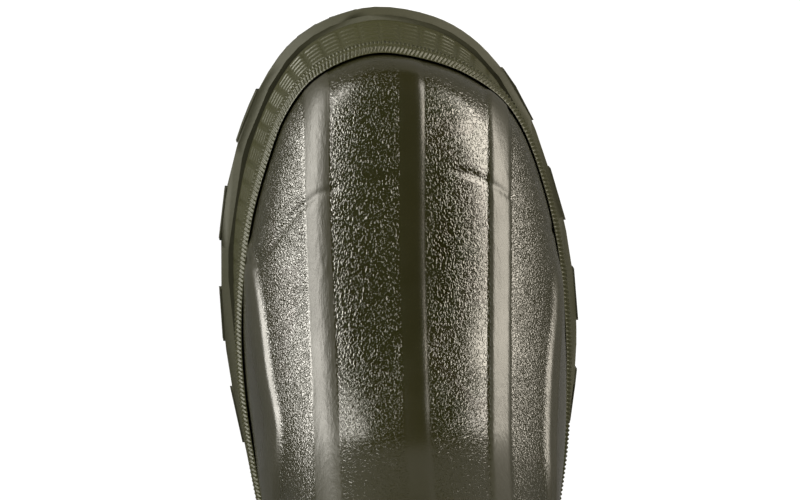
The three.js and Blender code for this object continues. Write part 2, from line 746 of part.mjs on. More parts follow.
/** The V-shaped opening for the gusset; grow widens or narrows it. */
function gussetWedge(grow) {
  const s = seat(GUSSET.turn, GUSSET.bottom);
  const top = 110;
  const { foot, mouth } = GUSSET;
  const shape = [
    [-foot - grow, -grow],
    [foot + grow, -grow],
    [mouth + grow, top],
    [-mouth - grow, top],
  ];
  const at = (n) => shape.map(([t, z]) => s.at(t, n, z));
  return bar([at(-9), at(7)]);
}

function shaftShell() {
  const shell = sleeve(LAYERS.rubber, [JOINT_PLANE, ...SHAFT_PLANES]).subtract(gussetWedge(0));
  return RIVETS.map((r) => rivetHole(r, 3)).reduce((all, one) => all.subtract(one), shell);
}

/** The gusset: a pleated panel in the opening, thinner than the rubber round it. */
function gussetPanel() {
  const planes = SHAFT_PLANES.slice(3);
  return sleeve([0.5, LAYERS.rubber[1]], planes).intersect(gussetWedge(-GAP));
}

const ankleBand = () => sleeve(OVERLAY, [...ANKLE_PLANES.slice(8), SHAFT_PLANES[0]]);
const OVERLAY_PROFILE = [[-165, 66], [-86, 60], [-84, 84], [-93, 108], [-108, 123], [-165, 126]];
const heelOverlay = () => heelPart(OVERLAY, OVERLAY_PROFILE);

/** The binding wraps the rims of the shell, the neoprene and the lining. */
function topBinding() {
  const low = shaftPlane(SHAFT_TOP - 14);
  const under = shaftPlane(SHAFT_TOP + GAP);
  const over = shaftPlane(SHAFT_TOP + 1.8);
  const inner = LINING_IN_SHAFT[1] + GAP;
  return collar([
    [-1.5, low],
    [-1.5, under],
    [-0.5, over],
    [inner + 0.2, over],
    [inner + 1.2, under],
    [inner + 1.2, low],
    [inner, low],
    [inner, under],
    [-GAP, under],
    [-GAP, low],
  ]);
}

// ---------------------------------------------------------------- the strap and its cam buckle

const STRAP = { z: 386, half: 10, thickness: 2 };
const BUCKLE = seat(84, STRAP.z);
const KEEPER = seat(57, STRAP.z);
const PIN = { t: 6, n: 7.2, radius: 1.2 };
const CLEAR = 0.3; // between the pin and its holes

/** The strap's path: its lower face's middle and the way out, from the rear anchor to the tip. */
function strapPath() {
  const path = [];
  const follow = (turn, out) => path.push({ p: calf(turn, STRAP.z, out), n: seat(turn, STRAP.z).n });
  const straight = (s, t, out) => path.push({ p: s.at(t, out, 0), n: s.n });
  for (const turn of [155, 149, 143, 137, 131]) follow(turn, GAP);
  [[124, 0.5], [117, 1], [110, 1.5], [103, 1.9], [96, 2.1]].forEach(([turn, out]) => follow(turn, out));
  for (const t of [-9, 0, 9]) straight(BUCKLE, t, 2.1);
  for (const turn of [74, 70]) follow(turn, 2.2);
  for (const t of [-14, 0, 14, 20, 24]) straight(KEEPER, t, 2.2);
  return path;
}

function calfStrap() {
  const path = strapPath();
  const strap = bar(
    path.map(({ p, n }, i) => {
      const fromTip = path.length - 1 - i;
      const half = fromTip === 0 ? 5 : STRAP.half;
      const corner = (out, up) => p.clone().addScaledVector(n, out).add(vector(0, 0, up));
      const { thickness } = STRAP;
      return [corner(0, -half), corner(0, half), corner(thickness, half), corner(thickness, -half)];
    }),
  );
  return RIVETS.filter((r) => r.through === "strap").reduce((all, r) => all.subtract(rivetHole(r, 6)), strap);
}

/** The buckle's base: a plate with two riveted tabs and two ears for the pin. */
function buckleBase() {
  const plate = seatBox(BUCKLE, [-7, 10], [GAP, 1.7], [-26, 26]);
  const ears = [[-14, -11], [11, 14]].map((z) =>
    seatBox(BUCKLE, [2, 10], [1, PIN.n + 2.2], z),
  );
  const made = ears.reduce((all, one) => all.add(one), plate);
  const bore = seatRod(BUCKLE, PIN.radius + CLEAR, PIN.t, PIN.n, [-16, 16]);
  const holes = RIVETS.filter((r) => r.through === "base").map((r) => rivetHole(r, 6));
  return holes.reduce((all, one) => all.subtract(one), made.subtract(bore));
}

/** The pin, with a head at each end. */
function bucklePin() {
  const rod = seatRod(BUCKLE, PIN.radius, PIN.t, PIN.n, [-15.5, 15.5]);
  const heads = [[-15.6, -14.3], [14.3, 15.6]].map((z) => seatRod(BUCKLE, 2, PIN.t, PIN.n, z));
  return heads.reduce((all, one) => all.add(one), rod);
}

/** The lever: a barrel round the pin and a plate that lies over the strap, with a lip to lift it by. */
function buckleLever() {
  const barrel = seatRod(BUCKLE, 2.4, PIN.t, PIN.n, [-10.6, 10.6]);
  const arm = seatBox(BUCKLE, [-17, PIN.t], [PIN.n - 1.2, PIN.n + 0.6], [-10.6, 10.6]);
  const lip = seatBox(BUCKLE, [-19, -16.5], [PIN.n - 1.2, PIN.n + 2.6], [-8, 8]);
  const bore = seatRod(BUCKLE, PIN.radius + CLEAR, PIN.t, PIN.n, [-12, 12]);
  return barrel.add(arm).add(lip).subtract(bore);
}

/** The keeper: a loop that slides along the strap's free end. */
function strapKeeper() {
  const outer = seatBox(KEEPER, [-4, 4], [0.5, 6.2], [-12.2, 12.2]);
  return outer.subtract(seatBox(KEEPER, [-5, 5], [1.7, 4.8], [-10.8, 10.8]));
}

// Each rivet has a head of 4 mm radius, a shank and a tail set into the neoprene. base is the height
// of the head's underside above the shaft.
const RIVETS = [
  { name: "strap_rivet_rear", through: "strap", turn: 152, z: STRAP.z, base: GAP + STRAP.thickness },
  { name: "strap_rivet_front", through: "strap", turn: 140, z: STRAP.z, base: GAP + STRAP.thickness },
  { name: "buckle_rivet_upper", through: "base", seat: BUCKLE, z: STRAP.z + 20, base: 1.7 },
  { name: "buckle_rivet_lower", through: "base", seat: BUCKLE, z: STRAP.z - 20, base: 1.7 },
];

/** A lathe of [radius, height] points about a rivet's axis, height outward from the shaft's surface. */
function rivetLathe(rivet, profile) {
  const s = rivet.seat
    ? { ...rivet.seat, o: rivet.seat.at(0, 0, rivet.z - STRAP.z) }
    : seat(rivet.turn, rivet.z);
  const points = profile.map(([r, h]) => new THREE.Vector2(r, h));
  return onSeat(s, new THREE.LatheGeometry(points, 12));
}

function rivetSolid(rivet) {
  const head = rivet.base + GAP;
  const tail = -LAYERS.rubber[1] - 1.3;
  return rivetLathe(rivet, [
    [0, tail - 0.8],
    [3.2, tail - 0.8],
    [3.2, tail],
    [1.4, tail],
    [1.4, head],
    [4, head],
    [3.4, head + 1.1],
    [0, head + 1.5],
  ]);
}

const rivetHole = (rivet, up) => rivetLathe(rivet, [[0, -5], [1.8, -5], [1.8, up], [0, up]]);
const rivetTailRoom = (rivet) => rivetLathe(rivet, [[0, -4.4], [3.7, -4.4], [3.7, 3], [0, 3]]);

/** A webbing loop over the collar, from the outer face of the shell to the inner face of the lining. */
function pullLoop(turn) {
  const s = seat(turn, SHAFT_TOP);
  const crest = Math.sin(rad(COLLAR_TILT)) * (s.o.y - SHAFT_AXIS);
  const mid = -LINING_IN_SHAFT[1] / 2;
  const path = [
    [1.9, -34], [1.9, -4], [2.6, 8], [2, 18], [mid, 24], [-11, 18], [-12.8, 8], [-12.2, -4], [-12.2, -34],
  ];
  return bar(
    path.map(([n, z], i) => {
      const before = path[Math.max(i - 1, 0)];
      const after = path[Math.min(i + 1, path.length - 1)];
      const length = Math.hypot(after[0] - before[0], after[1] - before[1]);
      const out = [(after[1] - before[1]) / length, -(after[0] - before[0]) / length];
      const corner = (side, thick) => s.at(side, n + out[0] * thick, z + crest + out[1] * thick);
      return [corner(-11, 0), corner(11, 0), corner(11, 1.4), corner(-11, 1.4)];
    }),
  );
}

// ---------------------------------------------------------------- assembly

const group = new THREE.Group();
function add(name, made, colour, roughness = 0.6, metalness = 0) {
  const material = new THREE.MeshStandardMaterial({ color: colour, roughness, metalness });
  const mesh = new THREE.Mesh(geometryOf(made), material);
  mesh.name = name;
  group.add(mesh);
}

const OLIVE = "#3c3b24";
const DARK = "#2b2a1b";
const WEBBING = "#24241c";
const METAL = "#8d9094";

add("outsole", outsole(), DARK);
add("shank", shankBar(0, 2 * GAP, SHANK.thickness + 2 * GAP), METAL, 0.4, 0.8);
add("midsole", midsole(), "#4a4a48", 0.9);
add("foxing_band", foxingBand(), DARK);
add("trim_strip", trimStrip(), DARK);
add("kick_off_ledge", kickOffLedge(), DARK);
add("foot_shell", footShell(), OLIVE);
add("shaft_shell", shaftShell(), OLIVE);
add("ankle_band", ankleBand(), OLIVE);
add("heel_overlay", heelOverlay(), DARK);
add("toe_puff", toePuff(), "#c9b48a", 0.8);
add("heel_counter", heelCounter(), "#c9b48a", 0.8);
add("neoprene_bootie", neopreneBootie(), "#1c1c1c", 0.9);
add("insulation", insulation(), "#d8d4c8", 1);
add("lining", lining(), "#55523f", 1);
add("insole_board", bedLayer(0, 1.8), "#b79f78", 0.9);
add("footbed", bedLayer(1.8 + GAP, 6), "#3f4a3a", 0.9);
add("footbed_cover", bedLayer(6 + GAP, 7.5), "#2f2f2b", 1);
add("gusset_panel", gussetPanel(), WEBBING, 0.9);
add("top_binding", topBinding(), WEBBING, 0.9);
add("calf_strap", calfStrap(), WEBBING, 0.8);
add("buckle_base", buckleBase(), METAL, 0.4, 0.8);
add("buckle_pin", bucklePin(), METAL, 0.3, 0.9);
add("buckle_lever", buckleLever(), METAL, 0.4, 0.8);
add("strap_keeper", strapKeeper(), DARK, 0.6);
for (const rivet of RIVETS) add(rivet.name, rivetSolid(rivet), METAL, 0.3, 0.9);
add("pull_loop_front", pullLoop(0), WEBBING, 0.8);
add("pull_loop_back", pullLoop(180), WEBBING, 0.8);

group.position.set(...ORIGIN, 0);
export default group;
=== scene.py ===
"""Looks for the insulated rubber hunting boot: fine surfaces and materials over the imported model.

Lengths are millimetres in the boot's own frame until place() turns them into the row frame's metres.
"""

import math

import bmesh
import bpy
import numpy as np
from mathutils import Matrix, Vector


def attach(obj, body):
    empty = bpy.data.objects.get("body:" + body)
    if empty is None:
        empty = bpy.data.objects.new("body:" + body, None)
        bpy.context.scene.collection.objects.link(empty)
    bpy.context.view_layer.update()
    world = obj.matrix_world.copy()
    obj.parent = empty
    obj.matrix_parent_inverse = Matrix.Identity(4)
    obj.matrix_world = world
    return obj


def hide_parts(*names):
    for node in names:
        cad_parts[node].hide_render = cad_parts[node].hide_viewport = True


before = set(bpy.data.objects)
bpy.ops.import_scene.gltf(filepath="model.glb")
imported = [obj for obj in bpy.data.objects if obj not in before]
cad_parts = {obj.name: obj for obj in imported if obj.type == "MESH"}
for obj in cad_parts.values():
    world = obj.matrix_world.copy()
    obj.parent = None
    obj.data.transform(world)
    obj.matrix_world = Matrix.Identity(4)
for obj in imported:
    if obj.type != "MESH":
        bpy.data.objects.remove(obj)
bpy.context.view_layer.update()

# ---------------------------------------------------------------- driving dimensions

ORIGIN = np.array([-5.5, 1.7, 0.0])  # the boot frame's origin in the row frame
GAP = 0.3  # between neighbouring layers

# The outlines are closed lines of (x, y), from the toe round the outer side; the seam is where the vamp
# meets the trim strip, and the sole's outline is its widest one.
SEAM_OUTLINE = [
    (-6, 139.4), (11, 136.4), (23, 131.6), (34, 123.8), (41.3, 113.6), (49, 93), (53.7, 72), (56, 50),
    (56.6, 32), (55.2, 4), (49, -36), (42.5, -80), (39.5, -110), (30, -138), (0, -149.5), (-30, -138),
    (-39, -110), (-37.5, -78), (-41, -40), (-48.6, 0), (-52.3, 28), (-52.8, 52), (-49.4, 82), (-42.8, 106),
    (-38, 118.4), (-29.6, 130), (-17.5, 137),
]
SOLE_OUTLINE = [
    (-7, 154), (13, 150.5), (26, 143.2), (37.5, 131), (46.8, 115), (54, 95), (59.6, 75), (62.7, 52),
    (63, 30), (58.8, 0), (51.8, -35), (46.5, -75), (44, -105), (39, -132), (26, -149), (0, -155.5),
    (-26, -149), (-38.5, -132), (-43, -105), (-42.5, -72), (-45, -35), (-51.5, 0), (-57.2, 28),
    (-59.4, 52), (-59.4, 76), (-56, 98), (-50.5, 116), (-43.5, 131), (-35, 142.2), (-23.5, 149.8),
]
# Heights are (y, z), or (y, z above the seam) for the vamp. The outsole's top edge is straight between the
# stations, which are places along y.
STATIONS = [-170, -140, -100, -72, -60, -48, -35, -20, -8, 20, 60, 92, 108, 122, 136, 160]
OUTSOLE_TOP = [
    (-156, 33), (-100, 33), (-60, 30), (-20, 22), (20, 16), (60, 14.5), (100, 15.5), (130, 19), (156, 25),
]
SEAM_HEIGHT = [(-150, 55), (-100, 53), (-50, 47), (0, 40), (40, 36), (80, 35), (120, 37), (144, 40)]
VAMP_RISE = [
    (-150, 46), (-100, 58), (-60, 74), (-30, 84), (0, 82), (20, 70), (40, 57), (60, 48), (80, 41),
    (100, 35.5), (120, 31), (144, 26),
]
SHELL_SEAT = 5.6  # the foot shell's bottom above the outsole's top edge
# The shaft's half width, front and back by height.
SHAFT_HALF_WIDTH = [
    (40, 32), (60, 38), (80, 40.5), (110, 45), (150, 47), (200, 50.5), (260, 56), (330, 60.5), (400, 61.5),
    (460, 61.5),
]
SHAFT_FRONT = [
    (40, -60), (60, -42), (90, -22), (120, -9), (150, -6), (200, -9), (260, -6), (330, 0), (400, 3),
    (460, 4),
]
SHAFT_BACK = [
    (40, -137), (60, -146.5), (80, -146), (110, -142), (150, -138), (200, -141), (260, -149), (330, -154),
    (400, -153), (460, -152),
]
FILLET = [(-150, 2.5), (-100, 3), (-40, 26), (20, 34), (150, 34)]  # the blend of foot and shaft, by y
SHAFT_TOP = 432
COLLAR_TILT = 5  # degrees, higher in front
ANKLE = 158  # the height of the joint between the foot shell and the shaft
ANKLE_BAND_TOP = 173

# Turns are degrees round the shaft from the front toward the outer side.
GUSSET = {"turn": 118, "bottom": 342, "foot": 4, "mouth": 13}
GUSSET_HEIGHT = 110
PLEAT_PITCH = 3.4
STRAP_Z = 386
STRAP_WIDTH = 20
STRAP_THICK = 2.0
BUCKLE_TURN = 84
KEEPER_TURN = 57
LOOP_WIDTH = 22
LOOP_THICK = 1.4
STITCH_LENGTH = 2.2
STITCH_PITCH = 3.2
STITCH_RADIUS = 0.3

LIP = 4.2  # how far the outsole's lip stands out round the foxing
FOXING_TOP = 1.9  # the foxing's thickness at the seam
TRIM_AT = 0.74  # the share of the foxing's height where the trim strip starts
TRIM_BEND = 0.9  # the share where the strip's dotted face turns into the dashed one
BLOCK_PITCH = 6.9
BEAD_PITCH = 1.45

# ---------------------------------------------------------------- curves


def through(table, x):
    """A smooth curve through (x, y) pairs, flat beyond both ends."""
    xs, ys = np.array(table, float).T
    x = np.clip(np.asarray(x, float), xs[0], xs[-1])
    i = np.clip(np.searchsorted(xs, x, side="right") - 1, 0, len(xs) - 2)
    before = np.maximum(i - 1, 0)
    after = np.minimum(i + 2, len(xs) - 1)
    step = xs[i + 1] - xs[i]
    t = (x - xs[i]) / step
    m0 = (ys[i + 1] - ys[before]) / (xs[i + 1] - xs[before]) * step
    m1 = (ys[after] - ys[i]) / (xs[after] - xs[i]) * step
    return (
        (2 * t**3 - 3 * t**2 + 1) * ys[i]
        + (t**3 - 2 * t**2 + t) * m0
        + (3 * t**2 - 2 * t**3) * ys[i + 1]
        + (t**3 - t**2) * m1
    )


def profile(table):
    """The same curve, sampled finely so that it can be read quickly."""
    xs = np.linspace(table[0][0], table[-1][0], 1200)
    ys = through(table, xs)
    return lambda x: np.interp(x, xs, ys)


top_line = through(OUTSOLE_TOP, STATIONS)
seam_height = profile(SEAM_HEIGHT)
vamp_rise = profile(VAMP_RISE)
half_width = profile(SHAFT_HALF_WIDTH)
shaft_front = profile(SHAFT_FRONT)
shaft_back = profile(SHAFT_BACK)
fillet = profile(FILLET)


def outsole_top(y):
    return np.interp(y, STATIONS, top_line)


def smooth(x, low, high):
    """0 below low, 1 above high, and an S-curve between them."""
    t = np.clip((x - low) / (high - low), 0, 1)
    return t * t * (3 - 2 * t)


def outline(points, count, inset=0.0):
    """A closed centripetal Catmull-Rom curve: (points, outward normals)."""
    p = np.array(points, float)
    t = np.arange(count) / count * len(p)
    i = t.astype(int)
    u = (t - i)[:, None]
    a, b, c, d = (p[(i + k) % len(p)] for k in (-1, 0, 1, 2))
    ab, bc, cd = (np.sqrt(np.linalg.norm(q - r, axis=1))[:, None] for q, r in ((b, a), (c, b), (d, c)))
    m0 = ((b - a) / ab - (c - a) / (ab + bc) + (c - b) / bc) * bc
    m1 = ((c - b) / bc - (d - b) / (bc + cd) + (d - c) / cd) * bc
    curve = (2 * u**3 - 3 * u**2 + 1) * b + (u**3 - 2 * u**2 + u) * m0 + (3 * u**2 - 2 * u**3) * c
    curve = curve + (u**3 - u**2) * m1
    tangent = (6 * u**2 - 6 * u) * b + (3 * u**2 - 4 * u + 1) * m0 + (6 * u - 6 * u**2) * c
    tangent = tangent + (3 * u**2 - 2 * u) * m1
    tangent /= np.linalg.norm(tangent, axis=1)[:, None]
    normal = np.stack([-tangent[:, 1], tangent[:, 0]], 1)
    return curve - normal * inset, normal


def sides(points, inset):
    """The outline's toe and heel, and its inner and outer side from heel to toe."""
    p, _ = outline(points, 1440, inset)
    p = np.roll(p, -int(np.argmax(p[:, 1])), axis=0)
    heel = int(np.argmin(p[:, 1]))
    lateral = p[: heel + 1][::-1]
    medial = np.vstack([p[heel:], p[:1]])
    return p[0, 1], p[heel, 1], medial, lateral


# ---------------------------------------------------------------- the family of surfaces

# Powers of the superellipses: the foot below the seam, the vamp above it, and the shaft.
FLAT_BOTTOM = 6
DOME = 2.35
SHAFT_POWER = 2.15
MEAN_RADIUS = 45  # turns their values into millimetres, roughly
# Between these heights an inner surface's inset turns from the foot's into the shaft's.
SHAFT_INSET_RISE = (206, 244)


def field(inset, in_shaft=None):
    """A function of points, negative inside the surface that lies inset mm within the boot's outer one."""
    in_shaft = inset if in_shaft is None else in_shaft
    toe, heel, medial, lateral = sides(SEAM_OUTLINE, inset)

    def rounded(y, end, start, power):
        """1 up to start, then falling along a superellipse to 0 at end."""
        t = np.clip((y - start) / (end - start), 0, 1)
        return np.maximum(1 - t**power, 1e-9) ** (1 / power)

    def foot(x, y, z):
        left = np.interp(y, medial[:, 1], medial[:, 0])
        right = np.interp(y, lateral[:, 1], lateral[:, 0])
        across = np.abs(x - (left + right) / 2) / np.maximum((right - left) / 2, 0.01)
        seam = seam_height(y)
        down = (seam - z) / np.maximum(seam - outsole_top(y) - SHELL_SEAT - inset, 0.5)
        ends = rounded(y, toe, 60, 2.6) * rounded(-y, -heel, 95, 2.8)
        up = (z - seam) / np.maximum((vamp_rise(y) - inset) * ends, 0.01)
        power = np.where(z < seam, FLAT_BOTTOM, DOME)
        other = np.minimum(np.where(z < seam, down, up), 60)
        value = (np.minimum(across, 60) ** power + np.maximum(other, 0) ** power) ** (1 / power) - 1
        return np.where((y >= toe) | (y <= heel), 1, value)

    def shaft(x, y, z):
        depth = inset + (in_shaft - inset) * smooth(z, *SHAFT_INSET_RISE)
        front = shaft_front(z) - depth
        back = shaft_back(z) + depth
        across = np.abs(x) / (half_width(z) - depth)
        along = np.abs(y - (front + back) / 2) / ((front - back) / 2)
        value = (across**SHAFT_POWER + along**SHAFT_POWER) ** (1 / SHAFT_POWER) - 1
        return value + np.maximum(40 - z, 0) / 10

    def inside(p):
        x, y, z = p[..., 0], p[..., 1], p[..., 2]
        a = foot(x, y, z) * MEAN_RADIUS
        b = shaft(x, y, z) * MEAN_RADIUS
        k = fillet(y)
        h = np.clip(0.5 + (b - a) / (2 * k), 0, 1)
        return b + (a - b) * h - k * h * (1 - h)

    return inside


FARTHEST = 240.0  # millimetres, more than from any ring's middle to the wall
HALVINGS = 26


def hit(inside, origin, direction):
    """Where rays from inside the surface leave it."""
    near = np.zeros(direction.shape[:-1])
    far = np.full(direction.shape[:-1], FARTHEST)
    for _ in range(HALVINGS):
        mid = (near + far) / 2
        within = inside(origin + direction * mid[..., None]) < 0
        near = np.where(within, mid, near)
        far = np.where(within, far, mid)
    return origin + direction * near[..., None]


# ---------------------------------------------------------------- rings around the boot

# The rings' middles follow a spine: straight along the foot, a quarter turn at the ankle, straight up.
TOE_CENTRE = np.array([-4.0, 100.0, 43.0])
PIVOT = (30.0, 158.0)
SPINE_RADIUS = 108.0
SHAFT_AXIS = PIVOT[0] - SPINE_RADIUS


def toe_rows(caps):
    """Cones round the toe: each row is (middle, way to its front, half angle)."""
    caps = np.radians(caps)
    origin = np.repeat(TOE_CENTRE[None], len(caps), 0)
    front = np.repeat(np.array([[0.0, 0.0, 1.0]]), len(caps), 0)
    return origin, front, caps


def vamp_rows(ys):
    """Upright rings across the forefoot."""
    ys = np.asarray(ys, float)
    back = (TOE_CENTRE[1] - ys) / (TOE_CENTRE[1] - PIVOT[0])
    height = TOE_CENTRE[2] + (PIVOT[1] - SPINE_RADIUS - TOE_CENTRE[2]) * back
    origin = np.stack([TOE_CENTRE[0] * (1 - back), ys, height], 1)
    front = np.repeat(np.array([[0.0, 0.0, 1.0]]), len(ys), 0)
    return origin, front, np.full(len(ys), np.pi / 2)


def ankle_rows(turns):
    """Rings that turn from upright to level round the pivot."""
    s, c = np.sin(np.radians(turns)), np.cos(np.radians(turns))
    zero = np.zeros(len(s))
    origin = np.stack([zero, PIVOT[0] - s * SPINE_RADIUS, PIVOT[1] - c * SPINE_RADIUS], 1)
    return origin, np.stack([zero, s, c], 1), np.full(len(s), np.pi / 2)


def shaft_rows(zs):
    """Rings round the shaft, tilting more and more toward the collar."""
    zs = np.asarray(zs, float)
    tilt = np.radians(COLLAR_TILT * (zs - ANKLE) / (SHAFT_TOP - ANKLE))
    zero = np.zeros(len(zs))
    origin = np.stack([zero, zero + SHAFT_AXIS, zs], 1)
    return origin, np.stack([zero, np.cos(tilt), np.sin(tilt)], 1), np.full(len(zs), np.pi / 2)


def joined(*rows):
    """Several sets of rows as one."""
    return tuple(np.concatenate(parts) for parts in zip(*rows))


def rings(inside, rows, turns):
    """The surface's points: one row per ring, one column per turn from the front round the outer side."""
    origin, front, caps = rows
    c, s = np.cos(turns)[None, :, None], np.sin(turns)[None, :, None]
    d = front[:, None, :] * c + np.array([1.0, 0, 0]) * s
    d = d * np.sin(caps)[:, None, None] + np.array([0, 1.0, 0]) * np.cos(caps)[:, None, None]
    return hit(inside, np.broadcast_to(origin[:, None, :], d.shape), d)


def normals(grid, closed=True):
    """Unit normals of a grid of points, by its neighbours."""
    along = np.gradient(grid, axis=0)
    if closed:
        round_ = np.roll(grid, -1, 1) - np.roll(grid, 1, 1)
    else:
        round_ = np.gradient(grid, axis=1)
    n = np.cross(along, round_)
    n /= np.maximum(np.linalg.norm(n, axis=-1, keepdims=True), 1e-9)
    return n


# ---------------------------------------------------------------- mesh helpers


def place(points):
    """Millimetres in the boot's frame to metres in the row frame."""
    return (np.asarray(points, float).reshape(-1, 3) + ORIGIN) * 0.001


def grid_faces(rows, columns, closed=True):
    """Quads between neighbouring rows of points, all the way round if closed."""
    k = np.arange(rows - 1)[:, None]
    i = np.arange(columns if closed else columns - 1)[None, :]
    j = (i + 1) % columns
    quads = np.stack([k * columns + i, (k + 1) * columns + i, (k + 1) * columns + j, k * columns + j], -1)
    return quads.reshape(-1, 4).tolist()


def make(name, points, faces, material, attributes=None):
    """A smooth mesh object, with a number per point for each named attribute."""
    mesh = bpy.data.meshes.new(name)
    mesh.from_pydata(place(points).tolist(), [], faces)
    for key, values in (attributes or {}).items():
        attribute = mesh.attributes.new(key, "FLOAT", "POINT")
        attribute.data.foreach_set("value", np.asarray(values, float).ravel())
    mesh.materials.append(material)
    mesh.shade_smooth()
    mesh.update()
    obj = bpy.data.objects.new(name, mesh)
    bpy.context.scene.collection.objects.link(obj)
    return obj


def stands_for(obj, node, body="boot"):
    """Puts a piece in a CAD node's place: hides the node and hangs the piece on the body."""
    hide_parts(node)
    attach(obj, body)


# ---------------------------------------------------------------- camera

VIEW_CENTRE = np.array([-0.3, 73.6, 45.0])
VIEW_WIDTH = 271.0
VIEW_DISTANCE = 1800.0
VIEW_LEAN = (-4.0, 8.0)  # degrees to the inner side and toward the toe
SENSOR = 36


def camera():
    """Looks down on the toe half, with the toe at the top of the picture."""
    x, y = (math.tan(math.radians(a)) for a in VIEW_LEAN)
    way = np.array([x, y, 1.0])
    way /= np.linalg.norm(way)
    data = bpy.data.cameras.new("camera")
    data.sensor_width = SENSOR
    data.lens = SENSOR * VIEW_DISTANCE / VIEW_WIDTH
    data.clip_end = 50
    obj = bpy.data.objects.new("camera", data)
    bpy.context.scene.collection.objects.link(obj)
    back = Vector(way)
    right = Vector((0, 1, 0)).cross(back).normalized()
    up = back.cross(right)
    turn = Matrix((right, up, back)).transposed().to_4x4()
    spot = (VIEW_CENTRE + way * VIEW_DISTANCE + ORIGIN) * 0.001
    obj.matrix_world = Matrix.Translation(Vector(spot)) @ turn
    bpy.context.scene.camera = obj


camera()

# ---------------------------------------------------------------- materials

# Texture scales are in waves per metre and bump depths in metres.


class Graph:
    """A short way to build a material's nodes."""

    def __init__(self, name):
        self.material = bpy.data.materials.new(name)
        self.material.use_nodes = True
        self.tree = self.material.node_tree
        self.shader = self.tree.nodes["Principled BSDF"]
        self.coord = self.node("ShaderNodeTexCoord").outputs["Object"]

    def node(self, kind, inputs=None, **settings):
        """A node with some inputs linked to sockets or set to values."""
        made = self.tree.nodes.new(kind)
        for key, value in settings.items():
            setattr(made, key, value)
        for key, value in (inputs or {}).items():
            if hasattr(value, "is_output"):
                self.tree.links.new(value, made.inputs[key])
            else:
                made.inputs[key].default_value = value
        return made

    def math(self, operation, *values):
        return self.node("ShaderNodeMath", dict(enumerate(values)), operation=operation).outputs[0]

    def noise(self, scale, detail=2.0, rough=0.5, distortion=0.0, stretch=None):
        coord = self.coord
        if stretch:
            coord = self.node("ShaderNodeMapping", {"Vector": coord, "Scale": stretch}).outputs[0]
        settings = {"Vector": coord, "Scale": scale, "Detail": detail, "Roughness": rough}
        settings["Distortion"] = distortion
        return self.node("ShaderNodeTexNoise", settings).outputs["Fac"]

    def spread(self, value, **ends):
        """A value mapped from one range to another."""
        ends = {key.replace("_", " ").title(): end for key, end in ends.items()}
        return self.node("ShaderNodeMapRange", {"Value": value, **ends}).outputs[0]

    def mix(self, factor, a, b):
        made = self.node("ShaderNodeMix", data_type="RGBA")
        for socket, value in ((0, factor), (6, a), (7, b)):
            if hasattr(value, "is_output"):
                self.tree.links.new(value, made.inputs[socket])
            else:
                made.inputs[socket].default_value = (*value, 1) if isinstance(value, tuple) else value
        return made.outputs[2]

    def attribute(self, name):
        return self.node("ShaderNodeAttribute", attribute_name=name).outputs["Fac"]

    def bump(self, height, distance, strength=1.0):
        inputs = {"Height": height, "Distance": distance, "Strength": strength}
        return self.node("ShaderNodeBump", inputs).outputs[0]

    def set(self, **values):
        """Links or sets the shader's own sockets, and gives the material."""
        for key, value in values.items():
            socket = self.shader.inputs[key.replace("_", " ")]
            if hasattr(value, "is_output"):
                self.tree.links.new(value, socket)
            else:
                socket.default_value = (*value, 1) if isinstance(value, tuple) else value
        return self.material


def vamp_rubber():
    """Glossy moulded rubber: a worm-like grain that turns finer at the sides and stops on the ribs.

    The mesh says where it is smooth, where its grain is fine and where it is brushed and dull.
    """
    g = Graph("olive_rubber_grained")
    plain, fine, dull = (g.attribute(name) for name in ("smooth", "fine", "dull"))
    worm = g.noise(1150.0, 1.0, 0.5, 0.8, stretch=(1.2, 0.8, 1.0))
    worm = g.spread(worm, from_min=0.46, from_max=0.72)
    pebble = g.spread(g.noise(1650.0, 1.0, 0.5, 0.4), from_min=0.3, from_max=0.7)
    coarse_part = g.math("MULTIPLY", worm, g.math("SUBTRACT", 1.0, fine))
    fine_part = g.math("MULTIPLY", pebble, g.math("MULTIPLY", fine, 2.0))
    grain = g.math("ADD", coarse_part, fine_part)
    patchy = g.spread(g.noise(70.0, 2.0), to_min=0.55, to_max=1.25)
    grained = g.math("MULTIPLY", g.math("MULTIPLY", grain, patchy), g.math("SUBTRACT", 1.0, plain))
    micro = g.math("MULTIPLY", g.noise(2600.0, 2.0), 0.12)
    brushed = g.math("MULTIPLY", g.noise(420.0, 2.0, 0.6, stretch=(1.6, 0.3, 1.0)), dull)
    height = g.math("ADD", g.math("ADD", grained, micro), g.math("MULTIPLY", brushed, 1.6))
    rough = g.math("ADD", 0.13, g.math("MULTIPLY", g.noise(110.0, 3.0), 0.08))
    rough = g.math("ADD", rough, g.math("MULTIPLY", plain, 0.08))
    rough = g.math("ADD", rough, g.math("MULTIPLY", dull, 0.2))
    return g.set(
        Base_Color=g.mix(g.noise(18.0, 4.0), (0.0098, 0.0093, 0.0026), (0.0160, 0.0151, 0.0045)),
        Roughness=rough,
        Specular_IOR_Level=0.75,
        Specular_Tint=(1.0, 0.97, 0.90),
        Normal=g.bump(height, 0.00009),
    )


def plain_rubber(name, low, high, rough=0.42, grain=900.0, depth=0.00015, gloss=0.5):
    """Moulded rubber, board or foam: a mottled colour between low and high, uneven gloss, small grain."""
    g = Graph(name)
    return g.set(
        Base_Color=g.mix(g.noise(30.0, 4.0), low, high),
        Roughness=g.math("ADD", rough - 0.06, g.math("MULTIPLY", g.noise(120.0, 3.0), 0.14)),
        Specular_IOR_Level=gloss,
        Specular_Tint=(1.0, 0.99, 0.86),
        Normal=g.bump(g.noise(grain, 3.0), depth, 0.6),
    )


